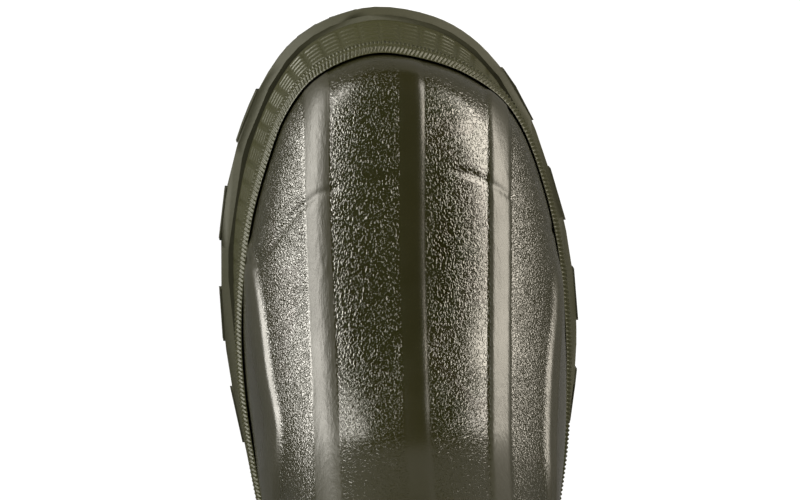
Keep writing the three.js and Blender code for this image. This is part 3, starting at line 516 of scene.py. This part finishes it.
def cloth(name, low, high, pitch, depth=0.0003, rough=0.9, sheen=0.3):
    """A weave or knit whose threads lie pitch metres apart."""
    g = Graph(name)
    inputs = {"Vector": g.coord, "Scale": 1.0 / pitch / 6.283, "Distortion": 0.6}
    up, across = (
        g.node("ShaderNodeTexWave", inputs, bands_direction=way).outputs["Fac"] for way in ("Z", "DIAGONAL")
    )
    weave = g.math("MULTIPLY", up, across)
    return g.set(
        Base_Color=g.mix(weave, low, high),
        Roughness=rough,
        Sheen_Weight=sheen,
        Normal=g.bump(weave, depth, 0.8),
    )


def steel():
    g = Graph("satin_steel")
    return g.set(
        Base_Color=g.mix(g.noise(60.0, 3.0), (0.075, 0.075, 0.072), (0.13, 0.13, 0.124)),
        Metallic=1.0,
        Roughness=g.math("ADD", 0.30, g.math("MULTIPLY", g.noise(400.0, 3.0), 0.2)),
        Normal=g.bump(g.noise(1200.0), 0.00005, 0.4),
    )


VAMP = vamp_rubber()
SHAFT = plain_rubber(
    "olive_rubber_smooth", (0.018, 0.0172, 0.006), (0.028, 0.027, 0.010), 0.36, 700.0, 0.0002
)
FOXING = plain_rubber("foxing_rubber", (0.021, 0.021, 0.0085), (0.033, 0.0325, 0.0135), 0.36, gloss=0.30)
SOLE = plain_rubber("sole_rubber", (0.024, 0.024, 0.013), (0.038, 0.037, 0.021), 0.56, gloss=0.22)
DARK = plain_rubber("dark_rubber", (0.020, 0.019, 0.0085), (0.032, 0.030, 0.014), 0.36)
KEEPER_RUBBER = plain_rubber(
    "keeper_rubber", (0.006, 0.006, 0.0055), (0.011, 0.011, 0.010), 0.45, gloss=0.35
)
BOARD = plain_rubber("fibre_board", (0.30, 0.24, 0.15), (0.42, 0.34, 0.22), 0.8)
FOAM = plain_rubber("foam", (0.05, 0.055, 0.045), (0.08, 0.085, 0.07), 0.85, 700.0, 0.0003)
WEBBING = cloth("webbing", (0.012, 0.012, 0.009), (0.045, 0.044, 0.033), 0.0011)
THREAD = cloth("thread", (0.03, 0.03, 0.02), (0.09, 0.085, 0.06), 0.0006)
KNIT = cloth("knit_lining", (0.05, 0.046, 0.03), (0.12, 0.11, 0.075), 0.0014)
FLEECE = cloth("fleece", (0.45, 0.43, 0.37), (0.7, 0.67, 0.6), 0.003)
NEOPRENE = cloth("neoprene", (0.012, 0.012, 0.012), (0.03, 0.03, 0.03), 0.0009)
STEEL = steel()

# ---------------------------------------------------------------- foot and shaft shells

# Ribs as (width, height, dullness, section, path): the section gives the share of the height at places
# across the rib, from -1 at its left edge to 1 at its right edge, and the path is [(y, x of its middle)].
LEANING = [(-1, 0), (-0.8, 0.3), (-0.4, 0.74), (0, 1), (0.3, 0.94), (0.66, 0.62), (1, 0)]
FLAT = [(-1, 0), (-0.86, 0.75), (-0.72, 1), (0.72, 1), (0.86, 0.75), (1, 0)]
ROUND = [(-1, 0), (-0.6, 0.45), (0, 0.9), (0.3, 1), (0.6, 0.82), (1, 0)]
RIBS = [
    (7.9, 0.6, 1.25, LEANING, [(-20, -28.8), (37, -28.4), (77, -29.1), (100, -29.3), (128, -28.6)]),
    (7.6, 0.8, 0.9, FLAT, [(-20, 26.4), (-4, 27.2), (36, 29.8), (81, 31.6), (100, 32.1), (124, 32.9)]),
    (8.6, 0.38, 0.0, ROUND, [(-20, 0.2), (-4, 0.6), (36, 1.6), (81, 1.8), (128, 3)]),
]
# Side ribs as (side, height, [(y, x of the crest)], y where the rib starts), the inner one with side -1.
# Each is steep toward the middle and falls gently outward.
SIDE_RIBS = [
    (-1, 1.2, [(-20, -44.4), (0, -44.2), (20, -43.4), (37, -46), (57, -48.2), (74, -50.8), (84, -52)], 82),
    (1, 1.2, [(-20, 46.2), (13, 45.8), (27, 46.8), (42, 48.6), (54, 50.8), (74, 52.2)], 74),
]
# A fine raised line outside the outer side rib, by y.
SECOND_LINE = [(-20, 47.2), (-9, 47.4), (9, 47.8), (27, 49.6), (42, 51.6), (54, 52.8)]
# The crease that bending leaves across the vamp, and the grain's upper edge at the toe, as (x, y).
FLEX_LINE = [
    (-56, 64), (-46.4, 74.7), (-37.6, 87.5), (-27.5, 96), (3, 104), (20, 102.5), (30, 97.5), (44, 86.5),
    (56, 76),
]
GRAIN_TOP = [(-50, 104), (-36, 127), (-20, 137), (0, 139.5), (20, 135), (34, 124), (50, 96)]


def vamp_relief(p, upper):
    """Heights over the foot shell, and where it is smooth, where its grain is fine and where it is dull."""
    x, y = p[..., 0], p[..., 1]
    height, plain, fine, dull = (np.zeros(x.shape) for _ in range(4))

    above_seam = smooth(p[..., 2] - seam_height(y), 0.5, 5) * upper
    for width, rise, dullness, section, path in RIBS:
        off = (x - through(path, y)) / (width / 2)
        within = (1 - smooth(np.abs(off), 0.96, 1.06)) * upper
        height = np.maximum(height, rise * through(section, off) * above_seam)
        plain = np.maximum(plain, within * 0.88)
        dull = np.maximum(dull, within * dullness)

    for side, rise, path, start in SIDE_RIBS:
        off = (x - through(path, y)) * side
        ends = (1 - smooth(y, start - 14, start)) * upper
        crest = smooth(off, -1.6, 0.2) * (1 - smooth(off, 0.2, 7.5))
        brushed = smooth(off, -1.8, -0.6) * (1 - smooth(off, 2, 5))
        height = np.maximum(height, rise * crest * ends)
        plain = np.maximum(plain, smooth(off, -1.4, -0.6) * ends * 0.85)
        dull = np.maximum(dull, brushed * ends * 0.8)
        fine = np.maximum(fine, smooth(off, -16, -10))

    line = np.exp(-(((x - through(SECOND_LINE, y)) / 0.55) ** 2)) * (1 - smooth(y, 44, 54)) * upper
    height = height + 0.45 * line

    toe = smooth(y - through(GRAIN_TOP, x), -2, 3)
    plain = np.maximum(plain, toe * 0.6)
    fine = np.maximum(fine, np.maximum(toe, 0.2 * smooth(-y, -45, 5)))
    for side, rib in ((-1, RIBS[0]), (1, RIBS[1])):
        fine = np.maximum(fine, smooth((x - through(rib[-1], y)) * side, 2.5, 5.5))

    steep = through(FLEX_LINE, x + 0.5) - through(FLEX_LINE, x - 0.5)
    flex = np.abs(y - through(FLEX_LINE, x)) / np.sqrt(1 + steep**2)
    groove = np.exp(-((flex / 1.1) ** 2)) * np.maximum(smooth(-x, 20, 25), smooth(x, 12, 19)) * upper
    height = height - (0.34 + 0.24 * smooth(-x, 30, 38)) * groove
    return height, plain, fine, dull


def foot_shell():
    """The foot's rubber, with more columns over the vamp than under the foot."""
    half = np.concatenate([np.linspace(0, 1.9, 150, endpoint=False), np.linspace(1.9, np.pi, 17)])
    turns = np.concatenate([half, 2 * np.pi - half[1:-1][::-1]])
    rows = joined(
        toe_rows(np.linspace(2, 88, 66)),
        vamp_rows(np.linspace(TOE_CENTRE[1], PIVOT[0], 112, endpoint=False)),
        ankle_rows(np.linspace(0, 90, 118)),
    )
    grid = rings(field(0), rows, turns)
    upper = np.broadcast_to(np.cos(turns)[None, :] > -0.4, grid.shape[:2]).astype(float)
    fade = np.ones(len(grid))
    fade[-30:] = np.linspace(1, 0, 30)
    height, plain, fine, dull = vamp_relief(grid, upper * fade[:, None])
    grid = grid + normals(grid) * height[..., None]
    levels, columns = grid.shape[:2]
    points = np.vstack([grid.reshape(-1, 3), grid[0].mean(0)])
    tip = [[levels * columns, i, (i + 1) % columns] for i in range(columns)]
    marks = {
        "smooth": np.append(plain.ravel(), 0),
        "fine": np.append(fine.ravel(), 1),
        "dull": np.append(dull.ravel(), 0),
    }
    obj = make("foot_shell_fine", points, grid_faces(levels, columns) + tip, VAMP, marks)
    stands_for(obj, "foot_shell")


def wedge_mask(p):
    """1 inside the gusset's V-shaped opening and 0 outside, with a soft edge."""
    base = Seat(GUSSET["turn"], GUSSET["bottom"])
    along = (p - base.o) @ base.t
    height = p[..., 2] - GUSSET["bottom"]
    half = GUSSET["foot"] + (GUSSET["mouth"] - GUSSET["foot"]) * height / GUSSET_HEIGHT
    outward = (p - base.o) @ base.n > -40
    inside = 1 - smooth(np.abs(along), half - 0.5, half + 0.5)
    return inside * smooth(height, -0.5, 0.5) * outward


def shaft_shell():
    """The shaft's rubber, pressed in where the gusset lies."""
    turns = np.linspace(0, 2 * np.pi, 480, endpoint=False)
    grid = rings(field(0), shaft_rows(np.linspace(ANKLE + GAP, SHAFT_TOP, 170)), turns)
    grid = grid - normals(grid) * (1.75 * wedge_mask(grid))[..., None]
    obj = make("shaft_shell_fine", grid, grid_faces(*grid.shape[:2]), SHAFT)
    stands_for(obj, "shaft_shell")


def gusset_panel():
    """A pleated panel in the opening, a little lower than the rubber round it."""
    middle = math.radians(GUSSET["turn"])
    turns = np.linspace(middle - 0.30, middle + 0.30, 150)
    grid = rings(field(0), shaft_rows(np.linspace(GUSSET["bottom"] - 4, SHAFT_TOP - 4, 90)), turns)
    base = Seat(GUSSET["turn"], GUSSET["bottom"])
    along = (grid - base.o) @ base.t
    pleat = 0.45 * np.cos(along / PLEAT_PITCH * 2 * np.pi)
    grid = grid + normals(grid, closed=False) * (-0.85 + pleat * 0.6)[..., None]
    obj = make("gusset_panel_fine", grid, grid_faces(*grid.shape[:2], closed=False), WEBBING)
    stands_for(obj, "gusset_panel")


# ---------------------------------------------------------------- overlays and inner surfaces


def depth_inside(y, z, corners):
    """How far (y, z) is inside a convex closed line, in mm; negative outside."""
    corners = np.array(corners, float)
    middle = corners.mean(0)
    depth = np.full(y.shape, np.inf)
    for a, b in zip(corners, np.roll(corners, -1, 0)):
        way = (b - a) / np.linalg.norm(b - a)
        inward = np.array([-way[1], way[0]])
        if inward @ (middle - a) < 0:
            inward = -inward
        depth = np.minimum(depth, (y - a[0]) * inward[0] + (z - a[1]) * inward[1])
    return depth


def overlay(name, node, rows, turns, mask, material, thick=1.5, sunk=0.8):
    """A thin moulded layer on the boot's wall, whose edge runs down into the wall below."""
    grid = rings(field(0), rows, turns)
    closed = turns[0] == 0
    grid = grid + normals(grid, closed) * (mask(grid) * (thick + sunk) - sunk)[..., None]
    obj = make(name, grid, grid_faces(*grid.shape[:2], closed=closed), material)
    stands_for(obj, node)


HEEL_PATCH = [(-165, 66), (-86, 60), (-84, 84), (-93, 108), (-108, 123), (-165, 126)]  # (y, z)
HEEL_RIDGE_PITCH = 6


def heel_overlay():
    """The heel patch, with level ridges."""

    def mask(p):
        y, z = p[..., 1], p[..., 2]
        depth = depth_inside(y, z, HEEL_PATCH)
        wave = np.cos(np.clip(z - 60, 0, 60) / HEEL_RIDGE_PITCH * 2 * np.pi)
        return smooth(depth, 0, 1.4) + 0.18 * wave * smooth(depth, 3, 6)

    turns = np.linspace(math.radians(75), math.radians(285), 300)
    rows = ankle_rows(np.linspace(36, 87, 130))
    overlay("heel_overlay_fine", "heel_overlay", rows, turns, mask, DARK)


def ankle_band():
    """The band over the joint of foot and shaft."""
    rows = joined(
        ankle_rows(np.linspace(82, 90, 36, endpoint=False)),
        shaft_rows(np.linspace(ANKLE, ANKLE_BAND_TOP, 30)),
    )
    level = np.concatenate([np.linspace(0, 1, 36, endpoint=False), np.linspace(1, 2, 30)])

    def mask(p):
        edge = smooth(level, 0.03, 0.16) * (1 - smooth(level, 1.86, 1.97))
        return np.broadcast_to(edge[:, None], p.shape[:2])

    turns = np.linspace(0, 2 * np.pi, 400, endpoint=False)
    overlay("ankle_band_fine", "ankle_band", rows, turns, mask, SHAFT)


LINING_INSETS = (9.4, 7.1)  # in the foot and in the shaft


def lining():
    """The knit lining's inner face, from the toe to the collar."""
    turns = np.linspace(0, 2 * np.pi, 200, endpoint=False)
    rows = joined(
        toe_rows(np.linspace(4, 86, 24)),
        vamp_rows(np.linspace(TOE_CENTRE[1], PIVOT[0], 40, endpoint=False)),
        ankle_rows(np.linspace(0, 90, 60, endpoint=False)),
        shaft_rows(np.linspace(ANKLE, SHAFT_TOP, 130)),
    )
    grid = rings(field(*LINING_INSETS), rows, turns)
    obj = make("lining_fine", grid, grid_faces(*grid.shape[:2]), KNIT)
    stands_for(obj, "lining")


# The binding's section as (inset from the shaft's face, height over the rim), from its outer leg's inside.
BINDING_SECTION = [
    (-0.3, -14), (-1.2, -14), (-1.6, -13.2), (-1.6, -1), (-1.3, 1), (-0.4, 2), (3.4, 2.2), (7.4, 2.0),
    (8.3, 1), (8.6, -1), (8.6, -13.2), (8.3, -14), (7.4, -14),
]


def top_binding():
    """The binding round the collar: a rounded channel with a row of stitches on each leg."""
    turns = np.linspace(0, 2 * np.pi, 360, endpoint=False)
    loops = [rings(field(inset), shaft_rows([SHAFT_TOP + up]), turns)[0] for inset, up in BINDING_SECTION]
    grid = np.stack(loops)
    obj = make("top_binding_fine", grid, grid_faces(*grid.shape[:2]), WEBBING)
    stands_for(obj, "top_binding")
    turns = np.linspace(0, 2 * np.pi, 720, endpoint=False)
    for inset, name in ((-1.65, "outer"), (8.65, "inner")):
        line = rings(field(inset), shaft_rows([SHAFT_TOP - 11]), turns)[0]
        stitches(f"binding_stitches_{name}", line, closed=True)


# ---------------------------------------------------------------- straps


class Seat:
    """A flat frame on the shaft: o on its surface, t forward round the shaft and n outward."""

    def __init__(self, turn, z):
        self.o = calf(turn, z)
        t = calf(turn - 1, z) - calf(turn + 1, z)
        self.t = t / np.linalg.norm(t)
        n = np.array([self.t[1], -self.t[0], 0.0])
        self.n = n if n @ (self.o - np.array([0, SHAFT_AXIS, z])) > 0 else -n

    def at(self, t, n, z):
        return self.o + self.t * t + self.n * n + np.array([0, 0, z])


def calf(turn, z, out=0.0):
    """A point on the shaft, or out mm off it."""
    front = float(shaft_front(z)) + out
    back = float(shaft_back(z)) - out
    c, s = math.cos(math.radians(turn)), math.sin(math.radians(turn))
    across = abs(s) / (float(half_width(z)) + out)
    along = abs(c) / ((front - back) / 2)
    radius = (across**SHAFT_POWER + along**SHAFT_POWER) ** (-1 / SHAFT_POWER)
    return np.array([s * radius, (front + back) / 2 + c * radius, z])


BUCKLE = Seat(BUCKLE_TURN, STRAP_Z)
KEEPER = Seat(KEEPER_TURN, STRAP_Z)


def lengths(p):
    """The distance along a line of points, from its first one."""
    return np.concatenate([[0], np.cumsum(np.linalg.norm(np.diff(p, axis=0), axis=1))])


def resample(points, count):
    """A smooth line through points, as count points at equal steps along it."""
    p = np.array(points, float)
    length = lengths(p)
    s = np.linspace(0, length[-1], count)
    return np.stack([through(list(zip(length, p[:, k])), s) for k in range(p.shape[1])], 1)


# A stitch's rings as (share of its length, share of its radius), with this many sides.
STITCH_RINGS = [(-0.1, 0.02), (0.15, 0.9), (0.5, 1.1), (0.85, 0.9), (1.1, 0.02)]
STITCH_SIDES = 6


def stitches(name, line, closed=False):
    """A row of thread stitches that lie along a line of points."""
    p = np.array(line, float)
    if closed:
        p = np.vstack([p, p[:1]])
    along = lengths(p)
    count = max(int(along[-1] / STITCH_PITCH), 1)
    points, faces = [], []
    for k in range(count):
        start = (k + 0.2) * along[-1] / count
        ends = np.stack([np.interp([start, start + STITCH_LENGTH], along, p[:, a]) for a in range(3)], 1)
        way = (ends[1] - ends[0]) / max(np.linalg.norm(ends[1] - ends[0]), 1e-6)
        side = np.cross(way, [0.3, 0.2, 0.9])
        side /= np.linalg.norm(side)
        up = np.cross(way, side)
        first = len(points)
        for at, share in STITCH_RINGS:
            centre = ends[0] + (ends[1] - ends[0]) * at
            for q in range(STITCH_SIDES):
                turn = q * 2 * math.pi / STITCH_SIDES
                way_out = side * math.cos(turn) + up * math.sin(turn)
                points.append(centre + way_out * STITCH_RADIUS * share)
        for level in range(len(STITCH_RINGS) - 1):
            for q in range(STITCH_SIDES):
                a = first + level * STITCH_SIDES + q
                b = first + level * STITCH_SIDES + (q + 1) % STITCH_SIDES
                faces.append([a, b, b + STITCH_SIDES, a + STITCH_SIDES])
    obj = make(name, points, faces, THREAD)
    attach(obj, "boot")


def band(name, node, centre, out, width, thick, taper=None):
    """A strap of webbing with a shallow groove inside each edge of its upper face.

    centre is its lower face's middle line and out the way out at each point. Gives the way across it.
    """
    along = np.gradient(centre, axis=0)
    along /= np.linalg.norm(along, axis=1)[:, None]
    across = np.cross(along, out)
    across /= np.linalg.norm(across, axis=1)[:, None]
    taper = np.ones(len(centre)) if taper is None else taper
    r = thick * 0.32
    edge = 0.5 - r / width
    groove = thick - 0.12
    right = [(0.39, thick), (0.40, groove), (0.43, groove), (0.44, thick), (edge, thick), (0.5, thick - r)]
    right += [(0.5, r), (edge, 0)]
    left = [(-side, up) for side, up in right[::-1]]
    section = left[1:] + right + left[:1]
    loops = [centre + across * (side * width * taper)[:, None] + out * up for side, up in section]
    grid = np.stack(loops, 1)
    count, n = grid.shape[:2]
    caps = [list(range(n))[::-1], [(count - 1) * n + i for i in range(n)]]
    obj = make(name, grid, grid_faces(count, n) + caps, WEBBING)
    stands_for(obj, node)
    return across


def calf_strap():
    """The strap: riveted at its back end, over the gusset, through the buckle and the keeper."""
    # As (turn, distance off the shaft), from the back end to the buckle.
    back = [(155, GAP), (149, GAP), (143, GAP), (137, GAP), (131, GAP), (124, 0.5), (117, 1.0), (110, 1.5)]
    back += [(103, 1.9), (96, 2.1)]
    spots = [(calf(turn, STRAP_Z, out), Seat(turn, STRAP_Z).n) for turn, out in back]
    spots += [(BUCKLE.at(t, 2.1, 0), BUCKLE.n) for t in (-9, 0, 9)]
    spots += [(calf(turn, STRAP_Z, 2.2), Seat(turn, STRAP_Z).n) for turn in (74, 70)]
    spots += [(KEEPER.at(t, 2.2, 0), KEEPER.n) for t in (-14, 0, 14, 20, 24)]
    both = resample([np.concatenate(spot) for spot in spots], 150)
    centre, out = both[:, :3], both[:, 3:]
    out /= np.linalg.norm(out, axis=1)[:, None]
    taper = np.ones(150)
    tip = np.linspace(0, 1, 12)
    taper[-12:] = np.sqrt(np.maximum(1 - tip**2, 0.02))
    across = band("calf_strap_fine", "calf_strap", centre, out, STRAP_WIDTH, STRAP_THICK, taper)
    for side, name in ((-1, "lower"), (1, "upper")):
        line = centre[3:-12] + out[3:-12] * 1.95 + across[3:-12] * (8.3 * side)
        stitches(f"strap_stitches_{name}", line)


# A pull loop's lower face as (distance off the shaft, height over the rim), from its outer leg's foot.
LOOP_PATH = [
    (0.4, -34), (0.4, -27), (0.5, -19), (1.9, -13), (1.9, -4), (2.6, 8), (2, 18), (-3.55, 24), (-11, 18),
    (-12.8, 8), (-12.2, -4), (-12.2, -20), (-12.2, -34),
]


def pull_loop(name, turn):
    """A webbing loop over the binding, with a box of stitches on its outer leg."""
    seat = Seat(turn, SHAFT_TOP)
    rim = math.sin(math.radians(COLLAR_TILT)) * (calf(turn, SHAFT_TOP)[1] - SHAFT_AXIS)
    flat = resample(LOOP_PATH, 90)
    way = np.gradient(flat, axis=0)
    way /= np.linalg.norm(way, axis=1)[:, None]
    centre = np.array([seat.at(0, n, z + rim) for n, z in flat])
    out = np.array([seat.n * w[1] - np.array([0, 0, w[0]]) for w in way])
    across = band(name + "_fine", name, centre, out, LOOP_WIDTH, LOOP_THICK)
    face = centre + out * LOOP_THICK
    for side, letter in ((-1, "b"), (1, "a")):
        stitches(f"{name}_stitches_{letter}", face[2:30] + across[2:30] * (8.6 * side))
    for side, letter in ((-1, "c"), (1, "d")):
        ends = [face[4] + across[4] * 8 * side, face[14] - across[14] * 8 * side]
        stitches(f"{name}_stitches_{letter}", ends)


# ---------------------------------------------------------------- foxing and trim


def gap_to(line, p, n):
    """How far it is from each point p along n to a closed line."""
    a, b = line, np.roll(line, -1, 0)
    e = b - a
    found = []
    for q, d in zip(p, n):
        det = e[:, 0] * d[1] - e[:, 1] * d[0]
        t = (e[:, 0] * (a[:, 1] - q[1]) - e[:, 1] * (a[:, 0] - q[0])) / det
        u = (d[0] * (a[:, 1] - q[1]) - d[1] * (a[:, 0] - q[0])) / det
        found.append(t[(u >= 0) & (u < 1) & (t > 0)].min())
    return np.array(found)


def foxing_stations(count):
    """Points at equal steps along the seam, the way out, the foxing's foot and the distance along it."""
    p, n = outline(SEAM_OUTLINE, 1440)
    foot = np.maximum(gap_to(outline(SOLE_OUTLINE, 720)[0], p, n) - LIP, FOXING_TOP)
    middle = p + n * foot[:, None] * 0.7
    step = np.linalg.norm(np.roll(middle, -1, 0) - middle, axis=1)
    length = np.concatenate([[0], np.cumsum(step)])
    s = np.arange(count) / count * length[-1]
    table = np.column_stack([p, n, foot])
    table = np.vstack([table, table[:1]])
    made = np.stack([np.interp(s, length, table[:, k]) for k in range(5)], 1)
    way = made[:, 2:4] / np.linalg.norm(made[:, 2:4], axis=1)[:, None]
    return made[:, :2], way, made[:, 4], s, length[-1]


def on_foxing(p, n, thick, rise):
    """Points thick mm out from the seam's outline: rise is 0 at the outsole and 1 at the seam."""
    xy = p + n * thick[..., None]
    low = outsole_top(xy[..., 1]) + GAP
    z = low + (seam_height(p[..., 1]) - low) * rise
    return np.concatenate([xy, z[..., None]], -1)


def wrapped(name, node, columns, rises, thickness):
    """A ring of the foxing, with the thickness that a function gives."""
    p, n, foot, s, total = foxing_stations(columns)
    shape = (len(rises), columns)
    rise = np.broadcast_to(np.array(rises)[:, None], shape)
    plain = foot[None, :] + (FOXING_TOP - foot[None, :]) * rise
    thick = thickness(s[None, :], rise, total, plain)
    face = on_foxing(np.broadcast_to(p, (*shape, 2)), np.broadcast_to(n, (*shape, 2)), thick, rise)
    inner = np.full(columns, 0.8)
    low = on_foxing(p, n, inner, inner * 0 + rises[0])
    high = on_foxing(p, n, inner, inner * 0 + rises[-1])
    grid = np.concatenate([low[None], face, high[None]])
    obj = make(name, grid, grid_faces(*grid.shape[:2]), FOXING)
    stands_for(obj, node)


def ridge(x, half):
    """A rounded ridge of height 1 round x = 0."""
    return np.maximum(1 - (x / half) ** 2, 0) ** 0.6


def foxing_band():
    """The band's woven look: blocks of level dashes, shifted by half a step from block to block."""
    top = TRIM_AT - 0.03

    def thickness(s, rise, total, plain):
        block = s / total * 2 * round(total / BLOCK_PITCH / 2)
        odd = np.floor(block) % 2
        u = block % 1 - 0.5
        v = rise / top
        w = ((v - 0.1) * 5.4 + 0.5 * odd) % 1 - 0.5
        within = smooth(v, 0.08, 0.12) * (1 - smooth(v, 0.95, 0.99))
        dash = ridge(w, 0.24) * (1 - smooth(np.abs(u), 0.32, 0.42))
        groove = smooth(np.abs(u), 0.46, 0.49)
        lines = 0.12 * np.cos(v * 2 * np.pi * 45) * (1 - smooth(v, 0.06, 0.08))
        edge = 0.1 * (1 - smooth(v, 0.0, 0.02)) + 0.5 * smooth(v, 0.985, 1.0)
        return plain + (0.35 * dash - 0.2 * groove) * within + lines - edge

    wrapped("foxing_band_fine", "foxing_band", 1530, np.linspace(0, top, 62), thickness)


def trim_strip():
    """A row of dots below and a row of slanted dashes above the bend."""

    def thickness(s, rise, total, plain):
        beads = s / total * round(total / BEAD_PITCH)
        u = beads % 1 - 0.5
        v = (rise - TRIM_AT) / (TRIM_BEND - TRIM_AT)
        dots = np.maximum(1 - (u / 0.38) ** 2 - ((v - 0.5) / 0.3) ** 2, 0) ** 0.5
        t = np.clip((rise - TRIM_BEND) / (1 - TRIM_BEND), 0, 1)
        slant = (beads + t * 0.9) % 1 - 0.5
        dashes = ridge(slant, 0.26) * smooth(t, 0.08, 0.18) * (1 - smooth(t, 0.82, 0.94))
        sloped = (plain + 0.5) * (1 - t) + 0.9 * t
        return sloped + 0.65 * dots + 0.6 * dashes - 0.4 * (1 - smooth(v, 0, 0.12))

    rises = np.concatenate([np.linspace(TRIM_AT, TRIM_BEND, 13), np.linspace(TRIM_BEND, 1, 16)[1:]])
    wrapped("trim_strip_fine", "trim_strip", 2700, rises, thickness)


# ---------------------------------------------------------------- refined copies of the CAD nodes

SAME_POINT = 1e-6  # metres
FLAT_WITHIN = 4  # degrees
SHARP_FROM = 32  # degrees


def refined(node, material, bevel, body="boot"):
    """A copy of a CAD node with merged points, smooth curved faces and rounded edges."""
    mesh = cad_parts[node].data.copy()
    mesh.name = node + "_fine"
    bm = bmesh.new()
    bm.from_mesh(mesh)
    bmesh.ops.remove_doubles(bm, verts=bm.verts, dist=SAME_POINT)
    bmesh.ops.dissolve_limit(bm, angle_limit=math.radians(FLAT_WITHIN), verts=bm.verts, edges=bm.edges)
    bm.to_mesh(mesh)
    bm.free()
    mesh.shade_smooth()
    mesh.set_sharp_from_angle(angle=math.radians(SHARP_FROM))
    mesh.materials.clear()
    mesh.materials.append(material)
    obj = bpy.data.objects.new(node + "_fine", mesh)
    bpy.context.scene.collection.objects.link(obj)
    rounding = obj.modifiers.new("rounding", "BEVEL")
    rounding.width = bevel * 0.001
    rounding.segments = 3
    rounding.limit_method = "ANGLE"
    rounding.angle_limit = math.radians(SHARP_FROM)
    stands_for(obj, node, body=body)


foot_shell()
shaft_shell()
gusset_panel()
foxing_band()
trim_strip()
heel_overlay()
ankle_band()
lining()
top_binding()
calf_strap()
pull_loop("pull_loop_front", 0)
pull_loop("pull_loop_back", 180)
refined("outsole", SOLE, 0.9)
refined("kick_off_ledge", DARK, 0.6)
refined("strap_keeper", KEEPER_RUBBER, 0.35, body="keeper")
refined("buckle_lever", STEEL, 0.3, body="lever")
refined("buckle_base", STEEL, 0.3)
refined("buckle_pin", STEEL, 0.2)
for rivet in ("strap_rivet_rear", "strap_rivet_front", "buckle_rivet_upper", "buckle_rivet_lower"):
    refined(rivet, STEEL, 0.15)

# ---------------------------------------------------------------- carried-over nodes

FINISH = {
    "shank": STEEL,
    "midsole": FOAM,
    "toe_puff": BOARD,
    "heel_counter": BOARD,
    "neoprene_bootie": NEOPRENE,
    "insulation": FLEECE,
    "insole_board": BOARD,
    "footbed": FOAM,
    "footbed_cover": KNIT,
}
for name, material in FINISH.items():
    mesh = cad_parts[name].data
    mesh.materials.clear()
    mesh.materials.append(material)

# ---------------------------------------------------------------- floor and light

FLOOR_HALF = 6.0  # metres
# Soft windows as name: (place, what it faces, size, watts, colour), in metres.
WINDOWS = {
    "left_window": ((-1.30, 0.68, 0.44), (0, 0.06, 0.05), (0.72, 0.95), 46, (1, 0.99, 0.97)),
    "left_front_window": ((-0.80, 1.30, 0.52), (0, 0.02, 0.08), (0.5, 0.35), 5, (1, 0.99, 0.97)),
    "right_front_window": ((0.85, 1.30, 0.50), (0, 0.02, 0.08), (0.4, 0.3), 3, (1, 0.97, 0.92)),
    "back_window": ((0.30, -1.70, 0.90), (0, -0.1, 0.22), (1.2, 0.9), 18, (1, 1, 1)),
    "right_window": ((1.20, 0.75, 0.68), (0, 0.06, 0.05), (1.1, 0.85), 40, (1, 0.95, 0.87)),
}


def floor():
    """A floor that looks nearly white, and throws little light back at the boot."""
    mesh = bpy.data.meshes.new("floor")
    corners = [(x * FLOOR_HALF, y * FLOOR_HALF, 0) for x, y in ((-1, -1), (1, -1), (1, 1), (-1, 1))]
    mesh.from_pydata(corners, [], [(0, 1, 2, 3)])
    obj = bpy.data.objects.new("floor", mesh)
    bpy.context.scene.collection.objects.link(obj)
    g = Graph("pale_floor")
    seen = g.node("ShaderNodeLightPath").outputs["Is Camera Ray"]
    g.set(
        Base_Color=(0.2, 0.2, 0.2),
        Roughness=0.9,
        Emission_Color=(1, 1, 1),
        Emission_Strength=g.math("MULTIPLY", seen, 0.88),
    )
    mesh.materials.append(g.material)


def area_light(name, spot, target, size, power, colour):
    data = bpy.data.lights.new(name, "AREA")
    data.shape = "RECTANGLE"
    data.size, data.size_y = size
    data.energy = power
    data.color = colour
    obj = bpy.data.objects.new(name, data)
    bpy.context.scene.collection.objects.link(obj)
    obj.location = spot
    obj.rotation_euler = (Vector(target) - Vector(spot)).to_track_quat("-Z", "Y").to_euler()


def backdrop():
    """A dark studio for light and gloss, and a pale wall where the camera sees past the floor."""
    world = bpy.data.worlds.new("studio")
    world.use_nodes = True
    nodes, links = world.node_tree.nodes, world.node_tree.links
    dark = nodes["Background"]
    dark.inputs["Strength"].default_value = 0.03
    pale = nodes.new("ShaderNodeBackground")
    pale.inputs["Color"].default_value = (0.9, 0.9, 0.9, 1)
    mixed = nodes.new("ShaderNodeMixShader")
    links.new(nodes.new("ShaderNodeLightPath").outputs["Is Camera Ray"], mixed.inputs[0])
    links.new(dark.outputs[0], mixed.inputs[1])
    links.new(pale.outputs[0], mixed.inputs[2])
    links.new(mixed.outputs[0], nodes["World Output"].inputs[0])
    bpy.context.scene.world = world


floor()
for name, window in WINDOWS.items():
    area_light(name, *window)
backdrop()
bpy.context.scene.view_settings.view_transform = "Standard"
